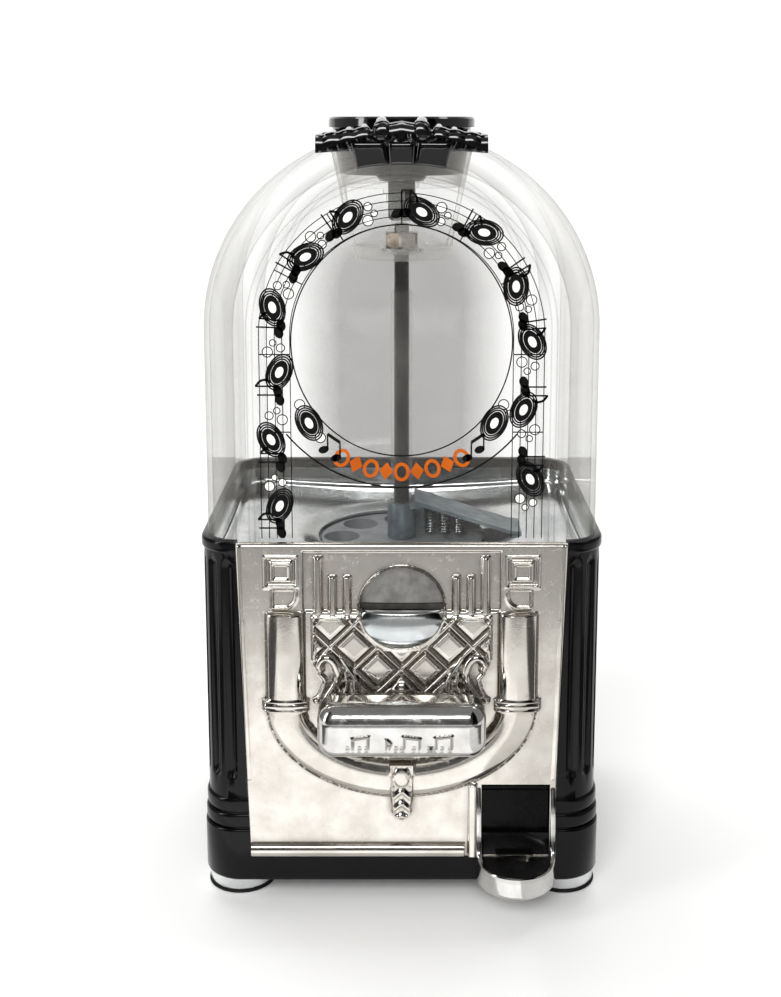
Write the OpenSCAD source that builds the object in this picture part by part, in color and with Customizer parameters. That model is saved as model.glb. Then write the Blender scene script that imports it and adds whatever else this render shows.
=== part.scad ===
// Jukebox-style gumball machine: an arched clear dome on a fluted base, with a push bar that turns a
// pocket wheel one step and drops a ball down a chute to the front spout.
// Origin: the middle of the footprint, on the surface it stands on. Front is -Y, up is +Z.

/* [Base] */
// Width of the base over its plinth ring
plinth_w = 155.8; // [152:0.2:158]
// Width of the fluted part of the base
body_w = 152.6; // [151:0.2:153.4]
// Front of the base casing, measured from the middle of the footprint
body_front = 55; // [54.5:0.1:55.5]
// Back of the base casing, measured from the middle of the footprint
body_back = 76; // [75:0.5:78]
// Height of the base rim above the floor
base_top = 147; // [146.5:0.1:148]
// Wall thickness of the base casing
wall = 2.5; // [2.2:0.1:2.6]
// Plan radius of the base corners
corner_r = 14; // [12:0.5:15]

/* [Dome] */
// Radius of the dome arch, outside
dome_r = 74.2; // [73.6:0.1:74.3]
// Wall thickness of the dome
dome_wall = 2.2; // [1.8:0.1:2.6]
// Height of the arch centre above the floor
arch_z = 226; // [222:0.5:226]
// Radius of the filling hole in the crown
fill_r = 31; // [30.8:0.1:31.4]

/* [Dispenser] */
// Radius of the pocket wheel
wheel_r = 34; // [33.8:0.1:34]
// Radius of each ball pocket
pocket_r = 7.6; // [7:0.1:7.6]
// Pitch radius of the pockets
pocket_pitch = 25.4; // [25.2:0.1:25.5]
// Number of pockets round the wheel
pocket_count = 8; // [8]
// Running clearance between a shaft and its bore, on radius
running_gap = 0.06; // [0.03:0.01:0.09]

/* [Front] */
// Width of the front plate at its top
plate_top_w = 126; // [125:0.5:127]
// Width of the front plate at its bottom
plate_low_w = 118.8; // [118:0.2:120]
// Radius of the round coin recess
coin_r = 16; // [15.8:0.1:16.2]
// Width of the push bar
bar_w = 63.2; // [56:0.4:64]

/* [Hidden] */
$fn = 96;
eps = 0.01;

// Levels and places that several parts share
floor_z = 9.5;
face_y = -body_front - 1;
panel_t = 2.5;
panel_back = face_y + panel_t;
rod_y = 10;
rod_r = 4.5;
rod_top = 262;
core_r = 3.2;
shoulder_z = 144.4;
tube_top = 234;
wheel_low = 115;
wheel_top = 129;
housing_floor = 111.5;
ratchet_low = 104;
ratchet_top = 109.2;
pivot_y = -28;
pivot_z = 60;
pin_r = 2.5;
tail_z = 100;
arm_x = 15.7;
arm_t = 3;
coin_z = 121;
spout_x = 44.2;
spout_r = 15.2;
spout_in = 13.5;
tray_z = 20;
chute_front = panel_back + 3.4;
flap_z = 48;
flap_y = -52.6;
dome_low = 143.2;
ledge_z = 130.4;
dome_front = -51.2;
dome_back = body_back - 3.5;
foot_x = 64.5;
foot_y = [-36, body_back - 21];
plug_at = [-34, 42];
bottom_t = 3;
seat_t = 0.1;
lid_half = 31.6;

// A box with rounded upright corners, given by its plan limits and levels
module upright_box(half_w, front, back, low, high, r) {
    translate([0, 0, low])
        linear_extrude(height = high - low)
            polygon(rounded_plan(half_w, front, back, r));
}

// Corner points of a rounded rectangle in plan, counter-clockwise
function corner_arc(cx, cy, r, start) =
    [for (i = [0 : 8]) [cx + r * cos(start + i * 11.25), cy + r * sin(start + i * 11.25)]];
function rounded_plan(half_w, front, back, r) = concat(
    corner_arc(half_w - r, back - r, r, 0),
    corner_arc(-half_w + r, back - r, r, 90),
    corner_arc(-half_w + r, front + r, r, 180),
    corner_arc(half_w - r, front + r, r, 270)
);

// A straight cylinder along X, centred on x
module along_x(x, y, z, r, length) {
    translate([x - length / 2, y, z]) rotate([0, 90, 0]) cylinder(r = r, h = length);
}

// A straight cylinder along Y, starting at y
module along_y(x, y, z, r, length) {
    translate([x, y, z]) rotate([-90, 0, 0]) cylinder(r = r, h = length);
}

// Turns a child drawn in X and Z into a slab standing between two depths
module upright_slab(front, back) {
    translate([0, back, 0]) rotate([90, 0, 0]) linear_extrude(height = back - front) children();
}

// Turns a child drawn in Y and Z into a slab standing between two widths
module side_slab(left, right) {
    translate([left, 0, 0]) rotate([90, 0, 90]) linear_extrude(height = right - left) children();
}

// Pan-head screw pointing up, head at the bottom
module screw_up(x, y, z, length) {
    translate([x, y, z]) cylinder(r = 3.2, h = 1.8, $fn = 32);
    translate([x, y, z]) cylinder(r = 1.5, h = length, $fn = 32);
}

// Places a child at each of the four screws that hold the front plate
module panel_screw_row() {
    for (side = [-1, 1]) {
        translate([side * 59.4, 0, 126]) children();
        translate([side * 57.2, 0, 58]) children();
    }
}

// Outline of the front plate in X and Z, shrunk all round by a margin
module plate_outline(margin, low, high) {
    top = plate_top_w / 2 - margin;
    bottom = plate_low_w / 2 - margin;
    polygon([[-bottom, low + margin], [bottom, low + margin], [top, high - margin], [-top, high - margin]]);
}

/* Base */

module base_shell() {
    half = body_w / 2;
    inner = dome_r + 0.3;
    front_inner = -body_front + wall + 1;
    color("black") difference() {
        union() {
            upright_box(half, -body_front, body_back, floor_z, base_top, corner_r);
            upright_box(half + 0.8, -body_front - 0.4, body_back, base_top - 4.5, base_top, corner_r);
            upright_box(half + 0.9, -body_front - 0.4, body_back, 37.4, 43, corner_r);
            upright_box(half + 1.3, -body_front - 0.6, body_back, 31.2, 36.8, corner_r);
            upright_box(plinth_w / 2, -body_front - 0.8, body_back, floor_z, 30.6, corner_r);
        }
        upright_box(inner, front_inner, body_back - wall, floor_z - 1, ledge_z - 3, corner_r - wall);
        upright_box(inner - 2.3, front_inner, body_back - wall - 2, 120, 140, 9);
        upright_box(inner, front_inner, body_back - wall, ledge_z, base_top + 1, corner_r - wall);
        upright_slab(-body_front - 2, panel_back + 0.05) plate_outline(-0.2, 19.5, 149);
        upright_slab(-body_front - 2, -body_front + wall + 2) plate_outline(7, 19.5, 147);
        for (side = [-1, 1], i = [0 : 2])
            translate([side * (half - corner_r + (corner_r + 1.8) * cos(15 + i * 30)),
                -body_front + corner_r - (corner_r + 1.8) * sin(15 + i * 30), 52])
                cylinder(r = 2.6, h = 87, $fn = 24);
        panel_screw_row() along_y(0, -body_front - 1, 0, 1.4, 9);
        translate([spout_x - 15.5, -body_front - 2, tray_z - 0.4]) cube([30.4, 10, 31.4]);
    }
}

module bottom_plate() {
    color("dimgray") difference() {
        upright_box(dome_r, -body_front + wall + 1.3, body_back - wall - 0.3,
            floor_z, floor_z + bottom_t, 11);
        translate([plug_at[0], plug_at[1], 0]) cylinder(r = 16, h = 40);
        translate([0, rod_y, 0]) cylinder(r = rod_r + running_gap, h = 40);
        for (x = [-foot_x, foot_x], y = foot_y)
            translate([x, y, 0]) cylinder(r = 1.6, h = 40, $fn = 32);
    }
}

module bottom_screws() {
    color("silver") for (x = [-foot_x, foot_x], y = foot_y) {
        translate([x, y, 3]) cylinder(r = 1.5, h = 14, $fn = 32);
        translate([x, y, floor_z + bottom_t]) cylinder(r = 3.6, h = 2.4, $fn = 6);
    }
}

module foot_discs() {
    color("silver") for (x = [-foot_x, foot_x], y = foot_y)
        translate([x, y, 2.5]) difference() {
            cylinder(r = 12.6, h = floor_z - 2.5);
            translate([0, 0, 0.5]) cylinder(r = 1.5, h = 12, $fn = 32);
        }
}

module foot_pads() {
    color("#202020") for (x = [-foot_x, foot_x], y = foot_y)
        translate([x, y, 0]) cylinder(r = 13.4, h = 2.5);
}

module coin_plug() {
    color("#303030") translate([plug_at[0], plug_at[1], 0]) difference() {
        union() {
            translate([0, 0, 7.4]) cylinder(r = 19, h = 2);
            translate([0, 0, 9]) cylinder(r = 15.7, h = 7);
        }
        translate([0, 0, 10.5]) cylinder(r = 13.6, h = 10);
        translate([0, -3, 6.9]) cylinder(r = 2, h = 1.5, $fn = 32);
    }
}

/* Front plate and coin entry */

// One half-round leg or bend of the raised tube ornament, as a flat band
function ellipse_half(a, b, z) =
    [for (i = [0 : 24]) [a * cos(180 + i * 7.5), z + b * sin(180 + i * 7.5)]];
function reversed(points) = [for (i = [len(points) - 1 : -1 : 0]) points[i]];

module tube_band() {
    polygon(concat(ellipse_half(51.5, 37.5, 83), reversed(ellipse_half(38, 23.5, 83))));
    for (side = [-1, 1]) translate([side * 44.6 - 7, 82.9]) square([14, 36.6]);
}

module panel_relief() {
    upright_slab(face_y - 2, face_y + eps) tube_band();
    for (side = [-1, 1]) {
        translate([side * 45.6 - 6.5, face_y - 1.6, 129.1]) cube([13, 1.6 + eps, 13]);
        translate([side * 43.8 - 5, face_y - 1.6, 120.6]) cube([10, 1.6 + eps, 8.4]);
        translate([side * 31.7 - 1.2, face_y - 1.2, 120.4]) cube([2.4, 1.2 + eps, 20.8]);
        translate([side * 26.2 - 1.1, face_y - 1.2, 120.4]) cube([2.2, 1.2 + eps, 13.2]);
        translate([side * 20.6 - 1.1, face_y - 1.2, 120.4]) cube([2.2, 1.2 + eps, 13.2]);
    }
    translate([-5, face_y - 2.4, 37]) cube([10, 2.4 + eps, 21]);
    translate([-59, face_y - 2.6, 20]) cube([83.5, 2.6 + eps, 5.6]);
}

module front_panel() {
    color("gainsboro") difference() {
        union() {
            upright_slab(face_y, panel_back) plate_outline(0, 19.7, 146.6);
            panel_relief();
            for (side = [-1, 1])
                translate([spout_x + side * 14.1 - 0.6, panel_back - eps, flap_z - 2.4]) cube([1.2, 4, 4.8]);
        }
        along_y(0, face_y - 5, coin_z, coin_r, 12);
        for (side = [-1, 1])
            translate([side * arm_x - arm_t / 2 - 0.6, face_y - 5, 58]) cube([arm_t + 1.2, 12, 34]);
        translate([spout_x - spout_in, face_y - 5, tray_z]) cube([2 * spout_in, 12, 30]);
        panel_screw_row() along_y(0, face_y + 1, 0, 1.3, 6);
        along_x(spout_x, flap_y, flap_z, 1.02, 40);
    }
}

module panel_screws() {
    color("silver") panel_screw_row() {
        along_y(0, face_y + 1.1, 0, 1.2, 5);
        along_y(0, -body_front + wall + 1.05, 0, 3, 1.8);
    }
}

module coin_backplate() {
    color("gray") union() {
        along_y(0, -49.6, coin_z, coin_r + 1.5, 1.2);
        for (side = [-1, 1])
            translate([side * (coin_r + 0.9) - 0.6, panel_back + 0.05, coin_z - 8]) cube([1.2, 4, 16]);
    }
}

module coin_lip() {
    color("silver") intersection() {
        translate([-coin_r, face_y - 4, coin_z - coin_r]) cube([2 * coin_r, 8, coin_r - 0.6]);
        union() {
            along_y(0, face_y + 0.4, coin_z, coin_r - 0.05, panel_t - 0.6);
            translate([0, face_y + 31.4, coin_z]) sphere(r = 34.2);
        }
        along_y(0, face_y - 4, coin_z, coin_r - 0.05, 4 + panel_t - 0.2);
    }
}

module coin_chute() {
    color("darkgray") difference() {
        translate([-13.5, panel_back + 0.1, 66]) cube([27, 4.6, 37]);
        translate([-12.7, panel_back + 0.9, 65]) cube([25.4, 3, 40]);
    }
}

/* Push bar and its drive */

// Section of the push bar: a loaf with a rounded top and bottom edge, in Y and Z
module loaf_section() {
    r = 5.4;
    low = 68.6;
    high = 88.8;
    front = face_y - 20;
    back = face_y - 2.5;
    polygon(concat(
        [for (i = [0 : 6]) [front + r - r * cos(i * 15), high - r + r * sin(i * 15)]],
        [[back, high], [back, low]],
        [for (i = [0 : 6]) [front + r - r * sin(i * 15), low + r - r * cos(i * 15)]]
    ));
}

module lever_arm_outline() {
    polygon([
        [face_y - 4, 71], [face_y - 4, 85.5], [face_y + 4, 86], [pivot_y - 12, 76],
        [pivot_y + 3.4, pivot_z + 2], [pivot_y + 1, pivot_z - 4.4],
        [pivot_y - 5, pivot_z - 3.4], [face_y + 2, 69.5]
    ]);
}

module push_lever() {
    color("silver") difference() {
        union() {
            side_slab(-bar_w / 2, bar_w / 2) loaf_section();
            for (side = [-1, 1])
                side_slab(side * arm_x - arm_t / 2, side * arm_x + arm_t / 2) lever_arm_outline();
            along_x(0, pivot_y, pivot_z, 4.8, 37);
            side_slab(-arm_x - arm_t / 2, -arm_x + arm_t / 2)
                polygon([[pivot_y - 4, pivot_z], [pivot_y + 4, pivot_z],
                    [pivot_y + 1.6, tail_z], [pivot_y - 1.6, tail_z]]);
            along_x(-arm_x, pivot_y, tail_z, 2, arm_t);
        }
        along_x(0, pivot_y, pivot_z, pin_r + running_gap, 60);
    }
}

module lever_bracket() {
    color("slategray") difference() {
        union() {
            for (side = [-1, 1]) {
                side_slab(side * 20.6 - 1, side * 20.6 + 1)
                    polygon([[panel_back + 0.1, 46], [pivot_y + 5, 54],
                        [pivot_y + 6, 66], [panel_back + 0.1, 74]]);
                translate([side * 24.5 - 4.9, panel_back + 0.1, 46]) cube([9.8, 2, 28]);
            }
        }
        along_x(0, pivot_y, pivot_z, pin_r + 0.02, 60);
        for (side = [-1, 1], z = [51, 69]) along_y(side * 26, panel_back - 1, z, 1.5, 6);
    }
}

module lever_pin() {
    color("silver") along_x(0, pivot_y, pivot_z, pin_r, 50);
}

module pin_clips() {
    color("dimgray") for (side = [-1, 1])
        difference() {
            along_x(side * 23.2, pivot_y, pivot_z, 4.4, 1.2);
            along_x(side * 23.2, pivot_y, pivot_z, pin_r + 0.01, 3);
        }
}

// Torsion spring on the push bar's hub, between the arms: a close row of wire turns with two legs
module lever_spring() {
    color("silver") {
        for (i = [0 : 5])
            translate([-5 + i * 1.9, pivot_y, pivot_z]) rotate([0, 90, 0])
                rotate_extrude($fn = 64) translate([6.1, 0]) circle(r = 0.8, $fn = 16);
    }
}

module pusher() {
    color("silver") difference() {
        union() {
            translate([-22, -33, ratchet_low]) cube([5, 60, ratchet_top - ratchet_low]);
            translate([-22, -33, ratchet_low]) cube([9, 10, ratchet_top - ratchet_low]);
            translate([-22, -33, tail_z - 2]) cube([9, 2.5, 8]);
            translate([-22, -25.5, tail_z - 2]) cube([9, 2.5, 8]);
            translate([-22, 19, ratchet_low]) cube([6.9, 8, ratchet_top - ratchet_low]);
        }
        translate([-23, -30.45, tail_z - 3]) cube([12, 4.9, 6.6]);
    }
}

// Driving pawl: a round nose behind one ratchet tooth, on a short slanted arm
module pawl() {
    color("goldenrod") union() {
        translate([-14.2, rod_y + 7.1, ratchet_low + 0.4]) cylinder(r = 0.8, h = 4.4, $fn = 32);
        translate([0, 0, ratchet_low + 0.4]) linear_extrude(height = 4.4)
            polygon([[-14.6, rod_y + 6.41], [-13.6, rod_y + 7.6], [-15.4, rod_y + 8.9], [-16.9, rod_y + 8.9]]);
    }
}

module pusher_rail() {
    color("slategray") difference() {
        union() {
            translate([-25, -12, ratchet_low - 2.6]) cube([2.6, 34, housing_floor - ratchet_low + 2.5]);
            translate([-25, -12, ratchet_low - 2.6]) cube([7.6, 34, 2.2]);
            translate([-32, -12, housing_floor - 2.1]) cube([9.6, 34, 2]);
        }
        for (y = [-4, 14]) translate([-28.6, y, 100]) cylinder(r = 1.6, h = 14, $fn = 32);
    }
}

module rail_screws() {
    color("silver") for (y = [-4, 14]) screw_up(-28.6, y, housing_floor - 4, 5.6);
}

/* Ball wheel and what is round it */

module wheel_housing() {
    color("slategray") translate([0, rod_y, 0]) difference() {
        union() {
            translate([0, 0, housing_floor]) cylinder(r = 37, h = 128.2 - housing_floor);
        }
        translate([0, 0, housing_floor + 3]) cylinder(r = wheel_r + 0.4, h = 40);
        translate([0, 0, housing_floor - 1]) cylinder(r = 9.4, h = 10);
        translate([pocket_pitch, 0, housing_floor - 1]) cylinder(r = 8, h = 10);
        for (y = [-14, 4]) translate([-28.6, y, housing_floor - 1]) cylinder(r = 1.5, h = 2.9, $fn = 32);
    }
}

module dispensing_wheel() {
    color("dimgray") translate([0, rod_y, 0]) difference() {
        union() {
            translate([0, 0, wheel_low]) cylinder(r = wheel_r, h = wheel_top - wheel_low);
            translate([0, 0, ratchet_top]) cylinder(r = 9, h = wheel_low - ratchet_top + 1);
        }
        translate([0, 0, 100]) cylinder(r = rod_r + running_gap, h = 40);
        for (i = [0 : pocket_count - 1])
            rotate(i * 360 / pocket_count)
                translate([pocket_pitch, 0, wheel_low - 1]) cylinder(r = pocket_r, h = 40, $fn = 64);
    }
}

// Outline of a saw-tooth ratchet whose upright faces lead when it turns counter-clockwise
function ratchet_points(tip, root) = [
    for (i = [0 : pocket_count - 1]) for (k = [0 : 2])
        let (face = 157.5 + i * 360 / pocket_count,
             turn = [face, face + 30, face + 44.9][k],
             r = [tip, root, root][k])
        [r * cos(turn), r * sin(turn)]
];

module ratchet() {
    color("goldenrod") translate([0, rod_y, ratchet_low]) difference() {
        linear_extrude(height = ratchet_top - ratchet_low) polygon(ratchet_points(16, 12));
        translate([0, 0, -1]) cylinder(r = rod_r + running_gap, h = 10);
    }
}

module detent_spring() {
    color("silver") {
        translate([-6, rod_y - 24, ratchet_low + 1.2]) cube([14, 0.6, 3]);
        translate([-6, rod_y - 24, ratchet_low + 1.2]) cube([0.6, 7.5, 3]);
        translate([4, rod_y - 24, ratchet_low + 1.2]) cube([4, 0.6, housing_floor - ratchet_low - 1.3]);
        translate([4, rod_y - 24, housing_floor - 0.7]) cube([4, 8, 0.6]);
    }
}

// Dished sheet that slopes down to the ball wheel, with a notch for the coin back plate
module hopper_cone() {
    slope = 0.1;
    reach = 100;
    rise = reach * slope;
    difference() {
        translate([0, rod_y, 128.3]) cylinder(r1 = 37.2, r2 = 37.2 + reach, h = rise);
        translate([0, rod_y, 130.6]) cylinder(r1 = 34.9, r2 = 34.9 + reach, h = rise);
        translate([0, rod_y, 100]) cylinder(r = 34.9, h = 60);
        translate([-coin_r - 2.5, -body_front, 120]) cube([2 * coin_r + 5, 8.4, 19.4]);
    }
}

module hopper() {
    half = dome_r;
    front = -body_front + wall + 1.3;
    back = body_back - wall - 0.3;
    color("lightgray") {
        intersection() {
            upright_box(half, front, back, 120, 143, 11);
            hopper_cone();
        }
        difference() {
            upright_box(half, front, back, ledge_z + 0.1, 143, 11);
            upright_box(half - 2.4, front + 2.4, back - 2.4, 120, 150, 8.6);
            translate([-coin_r - 2.5, front - 1, 120]) cube([2 * coin_r + 5, 5, 19.4]);
        }
    }
}

module wiper_guard() {
    hub_r = 6;
    roof = [[5.4, 145.6], [5.4, 147.4], [45.5, 134.4], [50, 133.8], [50, 132.8], [44.6, 133.2]];
    color("slategray") difference() {
        union() {
            translate([0, rod_y, wheel_top + 0.4]) cylinder(r = hub_r, h = 15);
            upright_slab(rod_y - 10, rod_y + 10) polygon(roof);
            upright_slab(rod_y + 8.6, rod_y + 10)
                polygon([[5.4, wheel_top + 0.4], [5.4, 146], [44, 133.8], [44, 132.8],
                    [34, 131.6], [33, wheel_top + 0.4]]);
            translate([3, rod_y + 5, wheel_top + 0.4]) cube([3, 5, 15]);
            upright_slab(rod_y - 5, rod_y + 5)
                polygon([[3, 142], [3, 144.4], [6, 146.6], [8, 146], [8, 143]]);
        }
        translate([0, rod_y, 100]) cylinder(r = rod_r + 0.05, h = 60);
    }
}

module wiper_springs() {
    color("silver") for (i = [0 : 2])
        translate([12.2 + i * 6.2, rod_y + 3, wheel_top + 0.5]) difference() {
            cylinder(r = 2.5, h = 12.5 - i * 2, $fn = 32);
            translate([0, 0, -1]) cylinder(r = 1.7, h = 20, $fn = 32);
        }
}

// Solid of the chute's path, shrunk by a margin: an upright drop and a slanted trough
chute_turn = 15.5;
chute_fall = 43;
module chute_path(m, top) {
    translate([pocket_pitch - 9.2 + m, rod_y - 9.6 + m, 88]) cube([19.2 - 2 * m, 19.2 - 2 * m, top - 88]);
    intersection() {
        translate([pocket_pitch + 0.4, rod_y, 94]) rotate([0, 0, chute_turn]) rotate([chute_fall, 0, 0])
            translate([-9.6 + m, -100, -9.6 + m]) cube([19.2 - 2 * m, 110, 19.2 - 2 * m]);
        translate([0, chute_front, 14]) cube([80, 100, 90]);
    }
}

module gumball_chute() {
    color("silver") difference() {
        chute_path(0, housing_floor - 0.1);
        chute_path(0.8, housing_floor + 2);
        translate([0, chute_front - 5 + eps, 10]) cube([80, 5, 90]);
    }
}

/* Spout */

module spout_plan(r, front) {
    translate([spout_x, front + r]) circle(r = r);
    translate([spout_x - r, front + r]) square([2 * r, panel_back - 0.2 - front - r]);
}

module spout() {
    front = face_y - 19.6;
    color("gainsboro") difference() {
        translate([0, 0, 12.2]) linear_extrude(height = 36.4) intersection() {
            spout_plan(spout_r, front);
            translate([0, front - 1]) square([80, face_y - front + 0.95]);
        }
        translate([0, 0, tray_z]) linear_extrude(height = 40) spout_plan(spout_in, front + 1.7);
        side_slab(spout_x - 20, spout_x + 20)
            polygon([[front - 2, 21.6], [face_y - 12, 21.6], [face_y - 5, 28],
                [face_y - 1.6, 47], [face_y - 1, 60], [front - 2, 60]]);
    }
}

module spout_flap() {
    color("#181818") difference() {
        union() {
            translate([spout_x - 12.9, flap_y - 0.8, 24]) cube([25.8, 1.6, flap_z - 24]);
            along_x(spout_x, flap_y, flap_z, 2, 25.8);
        }
        along_x(spout_x, flap_y, flap_z, 1 + running_gap, 40);
    }
}

module flap_pin() {
    color("silver") along_x(spout_x, flap_y, flap_z, 1, 29.2);
}

/* Centre rod */

// Turned rod: full size through the bearings, then a thinner length above its shoulder
module center_rod() {
    color("slategray") translate([0, rod_y, 4.4]) {
        cylinder(r = rod_r, h = shoulder_z - 4.4);
        cylinder(r = core_r, h = rod_top - 4.4);
    }
}

// Clear spacer tube that stands on the shoulder, round the thin part of the rod
module rod_tube() {
    length = tube_top - shoulder_z;
    color([0.9, 0.92, 0.9, 0.5]) translate([0, rod_y, shoulder_z + seat_t]) difference() {
        cylinder(r = rod_r, h = length);
        translate([0, 0, -1]) cylinder(r = core_r + seat_t, h = length + 2);
    }
}

module rod_sleeve() {
    color("gray") translate([0, rod_y, floor_z + bottom_t]) difference() {
        cylinder(r = 7, h = 90);
        translate([0, 0, -1]) cylinder(r = rod_r + seat_t, h = 100);
    }
}

module hex_nut(z, across, h, bore) {
    translate([0, rod_y, z]) difference() {
        cylinder(d = across * 1.1547, h = h, $fn = 6);
        translate([0, 0, -1]) cylinder(r = bore + 0.02, h = h + 2);
    }
}

module rod_top_nut() {
    color("rosybrown") hex_nut(252.1, 13, 6, core_r);
}

module rod_washer() {
    color("silver") translate([0, rod_y, 250.6]) difference() {
        cylinder(r = 9, h = 1.4);
        translate([0, 0, -1]) cylinder(r = core_r + seat_t, h = 5);
    }
}

module rod_bottom_nut() {
    color("silver") hex_nut(floor_z - 4.1, 13, 4, rod_r);
}

/* Dome and lid */

// Half outline of the dome across its edge, as radius and depth, shrunk by a margin
function dome_edge(m) = concat(
    [[0, dome_front + m], [55.6 - m * 0.4, dome_front + m], [57.2 - m * 0.4, dome_front + 1.6 + m]],
    [[62 - m * 0.6, dome_front + 2.4 + m], [63.6 - m * 0.6, dome_front + 4 + m]],
    [for (i = [1 : 6]) [63.6 - m * 0.6 + (dome_r - 63.6 - m * 0.4) * sin(i * 15),
        dome_front + 4 + m + (13 - m) * (1 - cos(i * 15))]]
);
function dome_half(m) = concat(
    dome_edge(m),
    reversed([for (p = dome_edge(m)) [p[0], dome_front + dome_back - p[1]]])
);
function mirrored(points) = [for (p = points) [-p[0], p[1]]];

module dome_solid(m, low) {
    translate([0, 0, arch_z]) rotate([90, 0, 180])
        rotate_extrude(angle = 180, $fn = 128) polygon([for (p = dome_half(m)) [p[0], p[1]]]);
    translate([0, 0, low]) linear_extrude(height = arch_z - low)
        polygon(concat(dome_half(m), reversed(mirrored(dome_half(m)))));
}

module dome() {
    color([0.9, 0.93, 0.95, 0.35]) difference() {
        dome_solid(0, dome_low);
        dome_solid(dome_wall, dome_low - 5);
        translate([0, rod_y, arch_z + 30]) cylinder(r = fill_r, h = 60);
    }
}

module neck_basket() {
    color([0.9, 0.92, 0.9, 0.5]) intersection() {
        along_y(0, rod_y - 40, arch_z, dome_r - 0.1, 80);
        translate([0, rod_y, 0]) difference() {
            union() {
                translate([0, 0, 248]) cylinder(r1 = 19.7, r2 = 30.3, h = 50.9);
                translate([0, 0, 290]) cylinder(r = fill_r - 0.1, h = 8.9);
                translate([0, 0, 244]) cylinder(r = 6.4, h = 5);
            }
            translate([0, 0, 250.5]) cylinder(r1 = 18.4, r2 = 28.6, h = 49);
            translate([0, 0, 240]) cylinder(r = core_r + 0.2, h = 20);
            for (turn = [0, 90]) rotate(turn)
                translate([-40, -10.5, 253]) cube([80, 21, 24]);
        }
    }
}

// Keystone tab that hangs over the dome's front or back face, between two depths
module keystone(front, back) {
    upright_slab(front, back)
        polygon([[-19, 295], [-16.6, 286.4], [-8, 287.6], [8, 287.6],
            [16.6, 286.4], [19, 295], [14, 300], [-14, 300]]);
}

module lid() {
    saddle_r = dome_r + 0.7;
    front = dome_front - 4.6;
    back = dome_back + 3.4;
    color("black") {
        translate([0, rod_y, 299.6]) cylinder(r = 29.6, h = 5.4);
        difference() {
            intersection() {
                along_y(0, front, arch_z, saddle_r + 2.6, back - front);
                upright_box(lid_half, front, back, 280, 310, 12);
            }
            along_y(0, dome_front - 0.6, arch_z, saddle_r, dome_back - dome_front + 1.2);
        }
        keystone(front, dome_front - 0.6);
        keystone(dome_back + 0.6, back);
        translate([0, rod_y, 282]) difference() {
            cylinder(r1 = 24.6, r2 = 28.3, h = 19);
            translate([0, 0, -1]) cylinder(r1 = 22.6, r2 = 26, h = 18);
        }
        translate([0, rod_y, 279]) cylinder(r = 10, h = 21);
    }
    color("dimgray") translate([0, rod_y, 263]) cylinder(r = 5.6, h = 17);
}

base_shell();
bottom_plate();
bottom_screws();
foot_discs();
foot_pads();
coin_plug();
front_panel();
panel_screws();
coin_backplate();
coin_lip();
coin_chute();
push_lever();
lever_bracket();
lever_pin();
pin_clips();
lever_spring();
pusher();
pawl();
pusher_rail();
rail_screws();
wheel_housing();
dispensing_wheel();
ratchet();
detent_spring();
hopper();
wiper_guard();
wiper_springs();
gumball_chute();
spout();
spout_flap();
flap_pin();
center_rod();
rod_sleeve();
rod_tube();
rod_top_nut();
rod_washer();
rod_bottom_nut();
dome();
neck_basket();
lid();
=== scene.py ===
"""Looks of an arched, jukebox-shaped gumball machine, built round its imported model.

Every sub-assembly is a class that holds its sizes in millimetres, builds its meshes as numpy
grids and dresses them. Front is -Y, up is +Z, and meshes are written in metres.
"""

import logging
import math
from dataclasses import dataclass
from enum import Enum
from typing import Optional, Sequence

import bmesh
import bpy
import numpy as np
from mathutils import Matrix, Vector


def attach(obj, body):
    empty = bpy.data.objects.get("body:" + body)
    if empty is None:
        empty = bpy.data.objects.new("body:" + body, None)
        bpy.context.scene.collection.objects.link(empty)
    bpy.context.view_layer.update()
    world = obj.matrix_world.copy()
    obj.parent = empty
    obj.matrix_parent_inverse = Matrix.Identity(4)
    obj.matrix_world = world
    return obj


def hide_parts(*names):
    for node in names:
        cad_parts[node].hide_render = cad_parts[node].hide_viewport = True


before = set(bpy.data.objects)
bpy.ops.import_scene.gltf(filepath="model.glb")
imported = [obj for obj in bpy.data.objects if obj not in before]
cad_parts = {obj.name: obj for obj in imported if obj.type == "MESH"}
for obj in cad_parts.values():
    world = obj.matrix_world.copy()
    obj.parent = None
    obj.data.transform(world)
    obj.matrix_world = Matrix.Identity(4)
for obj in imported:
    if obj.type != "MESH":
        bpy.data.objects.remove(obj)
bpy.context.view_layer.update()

Array = np.ndarray
MM = 0.001
LOG = logging.getLogger("gumball_machine")


# ---------------------------------------------------------------- surfaces


@dataclass
class Surface:
    """Vertices in millimetres, quads over them and flat many-sided caps."""

    verts: Array
    quads: Array
    caps: tuple = ()
    marks: Optional[dict] = None


def smooth(t: Array) -> Array:
    """Smoothstep: 0 below 0, 1 above 1, and an S between."""
    t = np.clip(t, 0.0, 1.0)
    return t * t * (3.0 - 2.0 * t)


def skin(points: Array, close_u: bool = False, close_v: bool = False) -> Surface:
    """Quads over a grid of points.

    Args:
        points: array (nu, nv, 3).
        close_u: join the last row to the first.
        close_v: join the last column to the first.

    Returns:
        The surface; rows and columns that share a place are merged when it is put into a mesh.
    """
    nu, nv = points.shape[:2]
    iu, iv = np.meshgrid(np.arange(nu if close_u else nu - 1), np.arange(nv if close_v else nv - 1),
                         indexing="ij")
    iu, iv = iu.ravel(), iv.ravel()
    ju, jv = (iu + 1) % nu, (iv + 1) % nv
    quads = np.stack([iu * nv + iv, ju * nv + iv, ju * nv + jv, iu * nv + jv], axis=1)
    return Surface(points.reshape(-1, 3), quads)


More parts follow.
